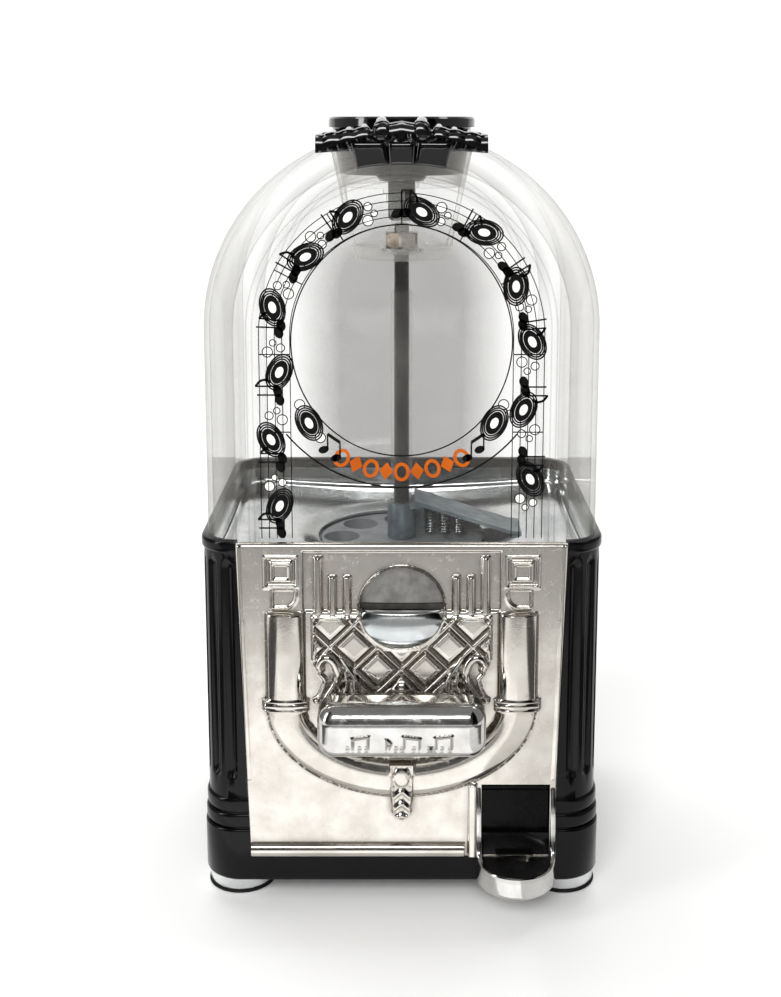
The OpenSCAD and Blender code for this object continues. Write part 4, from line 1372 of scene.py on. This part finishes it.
@dataclass
class Dome:
    """Clear moulded arch with flat ends; its front and back edges step down in rings."""

    radius: float = 74.2
    arch_z: float = 226.0
    low: float = 143.2
    front: float = -51.2
    back: float = 72.5
    shell: float = 2.2
    crown_r: float = 31.2
    edge_round: float = 5.0
    rod_y: float = 10.0

    def arch(self, radii: Array, count: int = 150, leg: int = 26) -> tuple[Array, Array]:
        """X and Z of arches of several radii: a leg, a half circle and a leg.

        Args:
            radii: the radii, one for each row of the section.
            count: points on the half circle.
            leg: points on each leg.

        Returns:
            X and Z, each of shape (points, radii).
        """
        rise = np.linspace(self.low, self.arch_z, leg)[:-1]
        turn = np.linspace(math.pi, 0.0, count)
        nx = np.concatenate([np.full(leg - 1, -1.0), np.cos(turn), np.full(leg - 1, 1.0)])
        nz = np.concatenate([np.zeros(leg - 1), np.sin(turn), np.zeros(leg - 1)])
        base = np.concatenate([rise, np.full(count, self.arch_z), rise[::-1]])
        return nx[:, None] * radii[None, :], base[:, None] + nz[:, None] * radii[None, :]

    def section(self) -> Array:
        """Rows of (radius, depth) from the front's middle over the barrel to the back's middle.

        Returns:
            Array (n, 2).
        """
        steps = [(0.0, 0.0), (14.0, 0.0), (28.0, 0.0), (42.0, 0.0), (50.0, 0.0), (55.2, 0.0), (55.6, 0.5),
                 (56.0, 0.7), (57.4, 0.7), (57.8, 1.0), (58.2, 1.4), (62.3, 1.5), (62.8, 1.8), (63.2, 2.3),
                 (68.6, 2.6)]
        turn = np.linspace(0.0, math.pi / 2, 11)
        bend = self.radius - self.edge_round
        edge = [(bend + self.edge_round * math.sin(t),
                 2.7 + self.edge_round * (1.0 - math.cos(t))) for t in turn]
        face = np.array(steps + edge)
        ahead = np.column_stack([face[:, 0], self.front + face[:, 1]])
        behind = np.column_stack([face[::-1, 0], self.back - face[::-1, 1]])
        span = np.linspace(ahead[-1, 1], behind[0, 1], 62)[1:-1]
        return np.concatenate([ahead, np.column_stack([np.full(60, self.radius), span]), behind])

    def make(self) -> None:
        """Outer and inner arches as a wall, open below and at the filler hole."""
        rows = self.section()
        lift = np.where(rows[:, 1] < 0.0, self.shell, -self.shell)
        barrel_y = np.clip(rows[:, 1], self.front + self.shell, self.back - self.shell)
        inner_y = np.where(rows[:, 0] < self.radius - 0.01, rows[:, 1] + lift, barrel_y)
        inner_r = np.minimum(rows[:, 0], self.radius - self.shell)
        grids = []
        for radii, depth in ((rows[:, 0], rows[:, 1]), (inner_r, inner_y)):
            x, z = self.arch(radii)
            grids.append(np.stack([x, np.broadcast_to(depth, x.shape), z], axis=2))
        outer_grid, inner_grid = grids
        middle = (outer_grid[1:, 1:] + outer_grid[:-1, :-1]) / 2.0
        crown = ((np.hypot(middle[..., 0], middle[..., 1] - self.rod_y) < self.crown_r)
                 & (middle[..., 2] > 260.0))
        shell = wall(outer_grid, inner_grid, ~crown, seam_v=True)
        across = rows[:, 0]
        # painted shade: the back half, painted dark lines on the step rings, and painted shade at the ends of
        # the barrel make the dome darker and less clear there
        haze_and_painted_shade = np.where(rows[:, 1] > self.rod_y, 0.60, 0.06)
        veil = haze_and_painted_shade * (1.0 - smooth((across - 26.0) / 30.0))
        for ring in (55.6, 57.8, 62.9):
            veil = np.maximum(veil, 0.32 * smooth(1.0 - np.abs(across - ring) / 0.7))
        veil = np.maximum(veil,
                          0.10 * smooth((across - 69.0) / 4.0) * (np.abs(rows[:, 1] - self.rod_y) > 55.0))
        field = np.broadcast_to(veil, outer_grid.shape[:2]).ravel()
        shell.marks = {"veil": np.concatenate([field, np.zeros(field.size)])}
        build("dome_clear", shell, CLEAR_DOME, Body.ROOT.value, "dome", sharp=30.0)


@dataclass
class DomePrint:
    """Inks on the dome's face: a staff that follows the arch, notes, records, bubbles and a banner."""

    y: float = -51.26
    film: float = 0.1
    arch_z: float = 224.6
    staff: tuple = (52.9, 50.0, 47.1, 44.3, 41.4)
    foot: float = 147.4
    line_w: float = 0.34
    oval_z: float = 222.7
    banner_r: float = 49.5
    sweep_r: float = 55.5
    line_gap: float = 2.88
    leg_step: float = 0.95

    def stroke(self, path: Sequence, width: float, closed: bool = False) -> Surface:
        """A flat line of ink along a chain of (x, z) points.

        Args:
            path: chain of (x, z).
            width: width of the line.
            closed: the chain is a ring.

        Returns:
            The line as a thin solid.
        """
        chain = np.asarray(path, float)
        points = np.column_stack([chain[:, 0], np.full(len(chain), self.y), chain[:, 1]])
        section = np.array([(-width / 2, -self.film / 2), (width / 2, -self.film / 2),
                            (width / 2, self.film / 2),
                            (-width / 2, self.film / 2)])
        return sweep(points, section, (0.0, 1.0, 0.0), closed)

    def patch(self, outline: Array, lift: float = 0.0) -> Surface:
        """A filled flat shape of ink."""
        return prism(outline, self.y - lift - self.film / 2, self.y - lift + self.film / 2)

    def oval(self, x: float, z: float, wide: float, tall: float, tilt: float = 0.0, count: int = 36) -> Array:
        """Outline of a tilted ellipse."""
        return turned(circle(1.0, count) * (wide, tall), math.radians(tilt), x, z)

    def arch(self, radius: float) -> Array:
        """A staff line: up one leg, over the half circle and down the other.

        Args:
            radius: radius of the half circle.

        Returns:
            Array (n, 2) of points.
        """
        turn = np.linspace(math.pi, 0.0, 121)
        legs = np.linspace(self.foot, self.arch_z, 30)[:-1]
        x = np.concatenate([np.full(29, -radius), radius * np.cos(turn), np.full(29, radius)])
        z = np.concatenate([legs, self.arch_z + radius * np.sin(turn), legs[::-1]])
        return np.column_stack([x, z])

    def on_staff(self, angle: float, line: float) -> tuple[float, float]:
        """A place on the staff: degrees from the top, and how many lines in from the outermost.

        Args:
            angle: degrees from the top; beyond 90 it runs down a leg.
            line: lines in from the outermost.

        Returns:
            X and Z of the place.
        """
        radius = self.staff[0] - self.line_gap * line
        if abs(angle) <= 90.0:
            turn = math.radians(90.0 - angle)
            return radius * math.cos(turn), self.arch_z + radius * math.sin(turn)
        return math.copysign(radius, angle), self.arch_z - (abs(angle) - 90.0) * self.leg_step

    def lean(self, angle: float) -> float:
        """Degrees that something square to the staff is turned by; it stays level along the legs."""
        return -float(np.clip(angle, -90.0, 90.0))

    def note(self, angle: float, line: float, flagged: bool) -> list[Surface]:
        """A filled head with a stem that points outwards from the arch, and perhaps a flag.

        Args:
            angle: degrees from the top.
            line: lines in from the outermost.
            flagged: whether the stem has a flag.

        Returns:
            Its parts.
        """
        x, z = self.on_staff(angle, line)
        lean = math.radians(self.lean(angle))

        def place(points: Sequence) -> Array:
            """Turns points drawn upright to stand square to the staff."""
            return turned(np.asarray(points, float), lean, x, z)

        parts = [self.patch(place(self.oval(0.0, 0.0, 2.3, 1.7, 20.0, 24))),
                 self.stroke(place([(1.8, 0.2), (1.8, 4.0), (1.8, 8.4)]), 0.6)]
        if flagged:
            parts.append(self.stroke(place(curve([(1.8, 8.2), (3.8, 6.4), (4.2, 4.0), (3.2, 2.6)], 18)), 0.9))
        return parts

    def black(self) -> Surface:
        """Staff, bar lines, oval rings, notes, record discs and bubble outlines.

        Returns:
            All the black ink.
        """
        parts = [self.stroke(self.arch(r), self.line_w) for r in self.staff]
        for angle in (-128.0, -97.0, -62.0, -31.0, 0.0, 31.0, 62.0, 97.0, 128.0):
            ends = [self.on_staff(angle, 0.0), self.on_staff(angle, 4.0)]
            parts.append(self.stroke([ends[0], np.mean(ends, axis=0), ends[1]], 0.45))
        parts.append(self.stroke(self.oval(0.0, self.oval_z, 41.0, 43.3, 0.0, 160), 0.5, closed=True))
        arc = np.radians(np.linspace(-141.0, -39.0, 80))
        below = np.column_stack([self.sweep_r * np.cos(arc), self.oval_z + self.sweep_r * np.sin(arc)])
        parts.append(self.stroke(below, 0.6))
        for angle, line in self.records():
            parts += self.note(angle - 7.5, 3.4 - line * 0.4, True)
            parts += self.note(angle - 11.0, 2.6, False)
        for x, z, tilt in self.discs():
            for scale in (1.0, 0.87, 0.74):
                parts.append(self.stroke(self.oval(x, z, 7.0 * scale, 4.5 * scale, tilt, 40), 0.6,
                                         closed=True))
            parts.append(self.patch(self.oval(x, z, 4.6, 2.9, tilt), 0.10))
        for x, z, size in self.bubbles():
            parts.append(self.stroke(self.oval(x, z, size, size, 0.0, 28), 0.4, closed=True))
        for side in (-1.0, 1.0):
            for x, z in ((24.6, 178.6), (29.2, 181.8)):
                parts.append(self.patch(self.oval(side * x, z, 2.0, 1.4, 20.0, 20)))
                stem = side * x + 1.5
                parts.append(self.stroke([(stem, z), (stem, z + 3.0), (stem, z + 6.0)], 0.6))
            beam = [(side * 24.6 + 1.5, 184.6), (side * 27.0 + 1.5, 186.2), (side * 29.2 + 1.5, 187.8)]
            parts.append(self.stroke(beam, 1.2))
        return join(*parts)

    def records(self) -> tuple:
        """Places of the record discs on the staff.

        Returns:
            Pairs of degrees from the top and staff line.
        """
        return ((-158.0, 2.4), (-131.0, 1.4), (-104.0, 2.6), (-77.0, 1.4), (-50.0, 2.4), (-24.0, 1.6),
                (9.0, 2.2),
                (38.0, 1.4), (66.0, 2.4), (92.0, 1.6), (119.0, 2.6), (147.0, 1.6))

    def discs(self) -> list[tuple[float, float, float]]:
        """Every record as (x, z, tilt); the tilts swing to and fro, and two lie in the corners.

        Returns:
            The places.
        """
        places = []
        for index, (angle, line) in enumerate(self.records()):
            x, z = self.on_staff(angle, line)
            places.append((x, z, self.lean(angle) + (28.0 if index % 2 else -24.0)))
        return places + [(-34.6, 192.0, -64.0), (34.6, 192.0, 64.0)]

    def bubbles(self) -> list[tuple[float, float, float]]:
        """Clusters of three bubbles beside each record, as (x, z, radius).

        Returns:
            The places.
        """
        places = []
        for index, (angle, line) in enumerate(self.records()):
            for step, across, size in ((8.0, 2.9, 1.9), (9.6, 1.2, 1.5), (11.6, 2.2, 1.2)):
                x, z = self.on_staff(angle + step, across if index % 2 else 4.0 - across)
                places.append((x, z, size))
        return places + [(-38.0, 199.0, 1.9), (-30.4, 186.4, 1.9), (38.0, 199.0, 1.9), (40.2, 195.6, 1.3)]

    def white(self) -> Surface:
        """Record labels and bubble faces.

        Returns:
            All the white ink.
        """
        parts = [self.patch(self.oval(x, z, 2.2, 1.4, tilt, 20), 0.22) for x, z, tilt in self.discs()]
        for x, z, size in self.bubbles():
            parts.append(self.patch(self.oval(x, z, size - 0.2, size - 0.2, 0.0, 20), -0.02))
        return join(*parts)

    def orange(self) -> Surface:
        """A row of rings and diamonds along the banner.

        Returns:
            All the orange ink.
        """
        parts = []
        for index, degree in enumerate(np.linspace(-117.0, -63.0, 9)):
            turn = math.radians(degree)
            x, z = self.banner_r * math.cos(turn), self.oval_z + self.banner_r * math.sin(turn)
            upright = turn + math.pi / 2
            if index % 2:
                diamond = np.array([(-2.6, 0.0), (0.0, 3.4), (2.6, 0.0), (0.0, -3.4)])
                parts.append(self.patch(turned(diamond, upright, x, z)))
            else:
                ring = turned(self.oval(0.0, 0.0, 2.4, 3.0, 0.0, 28), upright, x, z)
                parts.append(self.stroke(ring, 1.3, closed=True))
        return join(*parts)

    def make(self) -> None:
        """Three pieces, one for each ink."""
        build("print_black", self.black(), INK_BLACK, Body.ROOT.value)
        build("print_white", self.white(), INK_WHITE, Body.ROOT.value)
        build("print_orange", self.orange(), INK_ORANGE, Body.ROOT.value)


@dataclass
class NeckBasket:
    """Clear cup below the filler hole with four windows between slanted legs."""

    rod_y: float = 10.0
    legs: int = 4
    steps: int = 128

    def make(self) -> None:
        """Two turned profiles as a wall, with window cells left out."""
        outer = [(3.4, 248.0), (12.0, 248.0), (18.6, 248.0), (19.6, 248.4), (19.9, 249.2)]
        inner = [(3.4, 250.5), (12.0, 250.5), (16.9, 250.5), (17.6, 250.8), (18.0, 251.4)]
        levels = np.linspace(252.0, 298.0, 47)
        outer += [(19.7 + 10.6 * (z - 248.0) / 50.9, z) for z in levels]
        inner += [(18.4 + 10.2 * (z - 250.5) / 49.0, z) for z in levels]
        turn = np.linspace(0.0, 2.0 * math.pi, self.steps, endpoint=False)[:, None]
        grids = []
        for profile in (outer, inner):
            ring = np.array(profile)
            grids.append(np.stack([ring[None, :, 0] * np.cos(turn),
                                   self.rod_y + ring[None, :, 0] * np.sin(turn),
                                   np.broadcast_to(ring[None, :, 1], (self.steps, len(ring)))], axis=2))
        height = np.array(outer)[:-1, 1][None, :] + 0.5
        slant = (turn + 0.5 * 2.0 * math.pi / self.steps) + (height - 265.0) * 0.012
        window = (np.abs(np.sin(slant * self.legs / 2.0)) > 0.30) & (height > 253.0) & (height < 277.0)
        build("neck_basket_clear", wall(grids[0], grids[1], ~window, close_u=True), CLEAR_NECK,
              Body.ROOT.value,
              "neck_basket")


# ---------------------------------------------------------------- inside the dome


@dataclass
class Hopper:
    """Plated tray that dishes from a rounded rectangle down to the ball wheel."""

    half_w: float = 74.1
    front: float = -51.1
    back: float = 73.1
    rod_y: float = 10.0
    hole_r: float = 35.2
    low: float = 129.0
    rim: float = 142.9
    gauge: float = 1.3

    def make(self) -> None:
        """Lofts a circle into the rectangle with an S-shaped fall, then turns up a flanged wall."""
        edge = rounded(self.half_w, self.front, self.back, 11.0, 18, 30)
        aim = np.arctan2(edge[:, 1] - self.rod_y, edge[:, 0])
        hole = np.column_stack([self.hole_r * np.cos(aim), self.rod_y + self.hole_r * np.sin(aim)])
        inset = rounded(self.half_w - 3.6, self.front + 3.6, self.back - 3.6, 7.4, 18, 30)
        t = np.linspace(0.0, 1.0, 36)
        flat = hole[:, None] * (1.0 - t[None, :, None]) + inset[:, None] * t[None, :, None]
        reach = np.hypot(flat[..., 0], flat[..., 1] - self.rod_y)
        fall = self.low + 0.1 * (reach - self.hole_r) + 1.1 * smooth((reach - self.hole_r) / 9.0)
        turn = np.linspace(0.2, math.pi / 2, 6)
        outer_xy, outer_z = [flat], [fall]
        for step in turn:
            share = math.sin(step)
            outer_xy.append((inset * (1.0 - share) + edge * share)[:, None])
            outer_z.append((fall[:, -1] + 3.0 * (1.0 - math.cos(step)))[:, None])
        for z in np.linspace(138.0, self.rim, 8):
            outer_xy.append(edge[:, None])
            outer_z.append(np.full((len(edge), 1), z))
        top = np.concatenate([np.concatenate(outer_xy, axis=1), np.concatenate(outer_z, axis=1)[..., None]],
                             axis=2)
        middle = np.array([0.0, self.rod_y])
        pull = 1.0 - self.gauge / np.maximum(np.hypot(*(top[..., :2] - middle).transpose(2, 0, 1)), 1.0)
        upper = top.copy()
        upright = smooth((np.arange(top.shape[1]) - 34.0) / 6.0)[None, :]
        upper[..., 2] += self.gauge * (1.0 - upright)
        upper[..., :2] = middle + (top[..., :2] - middle) * (1.0 - (1.0 - pull[..., None])
                                                             * upright[..., None])
        upper[..., 2] = np.minimum(upper[..., 2], self.rim)
        centre = (top[:, 1:] + top[:, :-1]) / 2.0
        notch = (np.abs(centre[..., 0]) < 18.6) & (centre[..., 1] < -47.6) & (centre[..., 2] < 139.6)
        build("hopper_tray", wall(top, upper, ~notch, close_u=True), TIN_SHEET, Body.ROOT.value, "hopper")


@dataclass
class WiperSprings:
    """Three fine coil springs that hang below the guard's slanted roof."""

    rod_y: float = 10.0
    wire: float = 0.46
    radius: float = 2.0

    def coil(self, x: float, y: float, low: float, high: float, turns: float) -> Surface:
        """Round wire carried along a helix, its last turn at each end closed up.

        Args:
            x: X of its axis.
            y: Y of its axis.
            low: height of its foot.
            high: height of its head.
            turns: number of turns.

        Returns:
            The closed wire.
        """
        t = np.linspace(0.0, 1.0, int(turns * 20))
        angle = t * turns * 2.0 * math.pi
        rise = low + (high - low) * (0.5 + 0.5 * np.sin((t - 0.5) * math.pi) * 0.25 + (t - 0.5) * 0.75)
        path = np.stack([x + self.radius * np.cos(angle), y + self.radius * np.sin(angle), rise], axis=1)
        return sweep(path, circle(self.wire, 8), (0.0, 0.0, 1.0))

    def make(self) -> None:
        """Shorter springs stand further out, where the roof is lower."""
        springs = [self.coil(12.2 + i * 6.2, self.rod_y + 3.0, 130.0, 141.4 - i * 2.0, 9.5 - i)
                   for i in range(3)]
        build("wiper_coil_springs", join(*springs), ZINC, Body.ROOT.value, "wiper_springs")


@dataclass
class CentreRod:
    """Steel rod through the hopper with rolled threads near its top, a washer and a hex nut."""

    y: float = 10.0
    shaft: float = 4.5
    core: float = 3.2
    shoulder: float = 144.4
    tube_top: float = 234.0
    thread_low: float = 233.0
    pitch: float = 1.5

    def rod(self) -> Surface:
        """Radius as a function of turn and height, with a helical thread near the top.

        Returns:
            The closed rod.
        """
        turn = np.linspace(0.0, 2.0 * math.pi, 40, endpoint=False)[:, None]
        step = self.shoulder
        z = np.concatenate([[4.4, 5.0], np.linspace(6.0, step - 0.3, 24), [step, step + 0.01],
                            np.linspace(step + 1.0, self.thread_low - 1.0, 24),
                            np.linspace(self.thread_low, 261.4, 200), [262.0]])[None, :]
        thread = np.cos((z / self.pitch) * 2.0 * math.pi - turn)
        shallow = smooth((z - self.thread_low) / 2.0) * 0.34
        bevel = 0.4 * smooth((5.0 - z) / 0.6) + 0.2 * (np.abs(z - step + 0.005) < 0.01)
        r = np.where(z <= step, self.shaft - bevel,
                     self.core - shallow * (0.5 + 0.5 * thread) - 0.5 * smooth((z - 261.2) / 0.8))
        grid = np.stack([r * np.cos(turn), self.y + r * np.sin(turn), np.broadcast_to(z, r.shape)], axis=2)
        body = skin(grid, close_u=True)
        count, levels = grid.shape[:2]
        return Surface(body.verts, body.quads, (tuple(range(0, count * levels, levels)),
                                                tuple(range(levels - 1, count * levels, levels))))

    def nut(self, low: float, high: float, flats: float, bore: float) -> Surface:
        """Hexagon clipped by a cone at each face, with a round bore.

        Args:
            low: height of its lower face.
            high: height of its upper face.
            flats: width across the flats.
            bore: radius of the hole.

        Returns:
            The closed nut.
        """
        turn = np.linspace(0.0, 2.0 * math.pi, 96, endpoint=False)[:, None]
        wedge = (turn + math.pi / 6) % (math.pi / 3) - math.pi / 6
        hexagon = flats / 2.0 / np.cos(wedge)
        share = np.array([0.0, 0.06, 0.14, 0.24, 0.5, 0.76, 0.86, 0.94, 1.0])[None, :]
        cone = flats / 2.0 + 0.15 + 4.2 * np.minimum(share, 1.0 - share)
        r = np.minimum(hexagon, cone)
        z = low + (high - low) * share
        outside = np.stack([r * np.cos(turn), self.y + r * np.sin(turn), np.broadcast_to(z, r.shape)], axis=2)
        hole = np.stack([np.broadcast_to(bore * np.cos(turn), r.shape),
                         np.broadcast_to(self.y + bore * np.sin(turn), r.shape),
                         np.broadcast_to(z, r.shape)], axis=2)
        return wall(outside, hole, close_u=True)

    def make(self) -> None:
        """Rod, nut and washer as three pieces."""
        build("centre_rod_threaded", self.rod(), STEEL_ROD, Body.ROOT.value, "center_rod", sharp=60.0)
        low, high, bore = self.shoulder + 0.1, self.tube_top, self.core + 0.1
        tube = [(bore, low), (self.shaft - 0.05, low), (self.shaft - 0.05, high - 0.3),
                (self.shaft - 0.3, high),
                (bore + 0.1, high), (bore, high - 0.1)]
        build("rod_tube_clear", revolve(tube, (0.0, self.y, 0.0), 48), CLEAR_DOME, Body.ROOT.value,
              "rod_tube")
        build("top_nut_hex", self.nut(252.1, 258.1, 13.0, self.core + 0.04), AGED_NUT, Body.ROOT.value,
              "rod_top_nut", sharp=25.0)
        washer = [(bore, 250.65), (8.7, 250.65), (9.0, 250.9), (9.0, 251.7), (8.7, 252.0), (bore, 252.0)]
        build("top_washer_turned", revolve(washer, (0.0, self.y, 0.0), 64), ZINC, Body.ROOT.value,
              "rod_washer")


@dataclass
class LeverSpring:
    """Torsion spring wound round the push bar's pin."""

    y: float = -28.0
    z: float = 60.0
    radius: float = 6.1
    wire: float = 0.75

    def make(self) -> None:
        """Round wire along a helix that runs along X."""
        t = np.linspace(0.0, 1.0, 150)
        angle = t * 5.5 * 2.0 * math.pi
        path = np.stack([-5.0 + 9.6 * t, self.y + self.radius * np.cos(angle),
                         self.z + self.radius * np.sin(angle)],
                        axis=1)
        build("torsion_spring_wound", sweep(path, circle(self.wire, 10), (1.0, 0.0, 0.0)), ZINC,
              Body.ROOT.value,
              "lever_spring")


@dataclass
class Works:
    """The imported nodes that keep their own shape: each gets the finish of what it is made of."""

    def finishes(self) -> dict[str, Finish]:
        """Node name to finish, for the nodes that aren't zinc-plated steel.

        Returns:
            The finishes, by node name.
        """
        return {"bottom_plate": BLACK_WORKS, "coin_plug": RUBBER, "coin_chute": GREY_WORKS,
                "wheel_housing": GREY_WORKS, "dispensing_wheel": GREY_WORKS, "gumball_chute": GREY_WORKS,
                "wiper_guard": GREY_ENAMEL, "pawl": BRASS, "ratchet": BRASS, "flap_pin": STEEL_ROD,
                "lever_pin": STEEL_ROD, "rod_sleeve": STEEL_ROD}

    def make(self) -> None:
        """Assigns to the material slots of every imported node."""
        known = self.finishes()
        for name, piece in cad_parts.items():
            dressed = known.get(name, ZINC).material()
            for place in piece.material_slots:
                place.material = dressed
            LOG.info("%s: packed shape, %s", name, dressed.name)


# ---------------------------------------------------------------- stage


@dataclass
class Stage:
    """Pale floor and backdrop, soft lights and the camera."""

    camera_at: tuple[float, float, float] = (0.0, -0.552, 0.305)
    tilt: float = 9.6
    lens: float = 49.58
    shift: tuple[float, float] = (-0.0112, -0.1507)

    def sheet(self) -> None:
        """A floor that sweeps up behind the object in one curve."""
        y = np.concatenate([np.linspace(-1.6, 1.1, 12), 1.1 + 0.7 * np.sin(np.linspace(0.1, math.pi / 2, 12)),
                            np.full(6, 1.8)])
        z = np.concatenate([np.zeros(12), 0.7 * (1.0 - np.cos(np.linspace(0.1, math.pi / 2, 12))),
                            np.linspace(0.9, 2.6, 6)])
        x = np.linspace(-2.2, 2.2, 12)
        grid = np.stack(np.broadcast_arrays(x[:, None], y[None, :], z[None, :]), axis=2)
        mesh = bpy.data.meshes.new("floor_sweep")
        shape = skin(grid)
        mesh.from_pydata(shape.verts.tolist(), [], shape.quads.tolist())
        mesh.shade_smooth()
        paper = bpy.data.materials.new("white_paper")
        paper.use_nodes = True
        board = paper.node_tree.nodes["Principled BSDF"]
        board.inputs["Base Color"].default_value = linear("#f4f4f3")
        board.inputs["Roughness"].default_value = 0.85
        mesh.materials.append(paper)
        floor = bpy.data.objects.new("floor_sweep", mesh)
        bpy.context.scene.collection.objects.link(floor)

    def card(self, name: str, corners: Sequence, glow: float) -> None:
        """A card seen only in polished surfaces: dark ones cut a band, a bright one fills it.

        Args:
            name: the card's name.
            corners: its four corners in order, in metres.
            glow: strength of its own light; 0 makes a black card.
        """
        mesh = bpy.data.meshes.new(name)
        mesh.from_pydata([tuple(corner) for corner in corners], [], [(0, 1, 2, 3)])
        paper = bpy.data.materials.new(name)
        paper.use_nodes = True
        tree = paper.node_tree
        tree.nodes.clear()
        light = add_node(tree, "ShaderNodeEmission", {"Color": linear("#ffffff"), "Strength": glow})
        add_node(tree, "ShaderNodeOutputMaterial", {"Surface": light.outputs[0]})
        mesh.materials.append(paper)
        holder = bpy.data.objects.new(name, mesh)
        bpy.context.scene.collection.objects.link(holder)
        holder.visible_camera = holder.visible_shadow = holder.visible_diffuse = False
        holder.visible_transmission = False

    def floor_card(self, name: str, x: tuple[float, float], y: tuple[float, float], glow: float) -> None:
        """A card lying just above the floor between two widths and two depths.

        Args:
            name: the card's name.
            x: its two widths, in metres.
            y: its two depths, in metres.
            glow: strength of its own light.
        """
        height = 0.003
        self.card(name, [(x[0], y[0], height), (x[1], y[0], height), (x[1], y[1], height),
                         (x[0], y[1], height)],
                  glow)

    def lamp(self, name: str, power: float, size: tuple[float, float], place: Sequence[float],
             aim: Sequence[float]) -> None:
        """A rectangular soft light turned towards a point.

        Args:
            name: the lamp's name.
            power: power, in watts.
            size: width and height, in metres.
            place: where it stands, in metres.
            aim: the point it faces, in metres.
        """
        light = bpy.data.lights.new(name, "AREA")
        light.shape, light.size, light.size_y, light.energy = "RECTANGLE", size[0], size[1], power
        holder = bpy.data.objects.new(name, light)
        holder.location = place
        way = Vector(aim) - Vector(place)
        holder.rotation_euler = way.to_track_quat("-Z", "Y").to_euler()
        bpy.context.scene.collection.objects.link(holder)

    def make(self) -> None:
        """Places the floor, the world light, the lamps, the cards and the camera."""
        self.sheet()
        world = bpy.data.worlds.new("studio")
        world.use_nodes = True
        ground = world.node_tree.nodes["Background"]
        ground.inputs["Color"].default_value = linear("#ffffff")
        ground.inputs["Strength"].default_value = 0.28
        bpy.context.scene.world = world
        bpy.context.scene.view_settings.view_transform = "Standard"
        self.lamp("soft_front", 20.0, (0.95, 0.6), (-0.22, -1.45, 1.1), (0.0, 0.0, 0.12))
        self.lamp("soft_low", 4.5, (0.9, 0.35), (-0.1, -1.5, 0.26), (0.0, 0.0, 0.12))
        self.lamp("soft_side", 5.0, (0.2, 1.0), (-1.1, -0.5, 0.6), (0.0, 0.0, 0.15))
        self.lamp("soft_back", 30.0, (2.4, 1.0), (0.0, 0.75, 1.9), (0.0, 0.9, 0.2))
        for side in (-1.0, 1.0):
            mark = "left" if side < 0 else "right"
            near, far = side * 0.62, side * 0.41
            self.card(f"black_flag_{mark}", [(near, -0.45, 0.0), (far, -1.3, 0.0), (far, -1.3, 1.5),
                                             (near, -0.45, 1.5)], 0.0)
            self.floor_card(f"side_card_{mark}", tuple(sorted((side * 0.17, side * 0.33))), (-0.42, -0.08),
                            0.10)
        self.floor_card("far_card", (-0.5, 0.5), (-1.2, -0.34), 0.44)
        self.floor_card("bright_card", (-0.14, 0.05), (-0.26, -0.085), 1.7)
        self.card("dark_band",
                  [(-0.9, -1.05, 0.06), (0.9, -1.05, 0.06), (0.9, -1.05, 0.80), (-0.9, -1.05, 0.80)],
                  0.03)
        view = bpy.data.cameras.new("camera")
        view.sensor_fit, view.sensor_height, view.lens = "VERTICAL", 36.0, self.lens
        view.shift_x, view.shift_y = self.shift
        view.clip_start = 0.01
        holder = bpy.data.objects.new("camera", view)
        holder.location = self.camera_at
        holder.rotation_euler = (math.radians(90.0 - self.tilt), 0.0, 0.0)
        bpy.context.scene.collection.objects.link(holder)
        bpy.context.scene.camera = holder


def main() -> None:
    """Builds every class in order."""
    logging.basicConfig(level=logging.INFO, format="%(message)s")
    for maker in (Stage, Works, BaseCasing, Feet, FrontPlate, PushBar, Spout, SpoutFlap, CoinEntry, Hopper,
                  WiperSprings, CentreRod, LeverSpring, NeckBasket, Dome, DomePrint, Lid):
        maker().make()


if __name__ == "__main__":
    main()
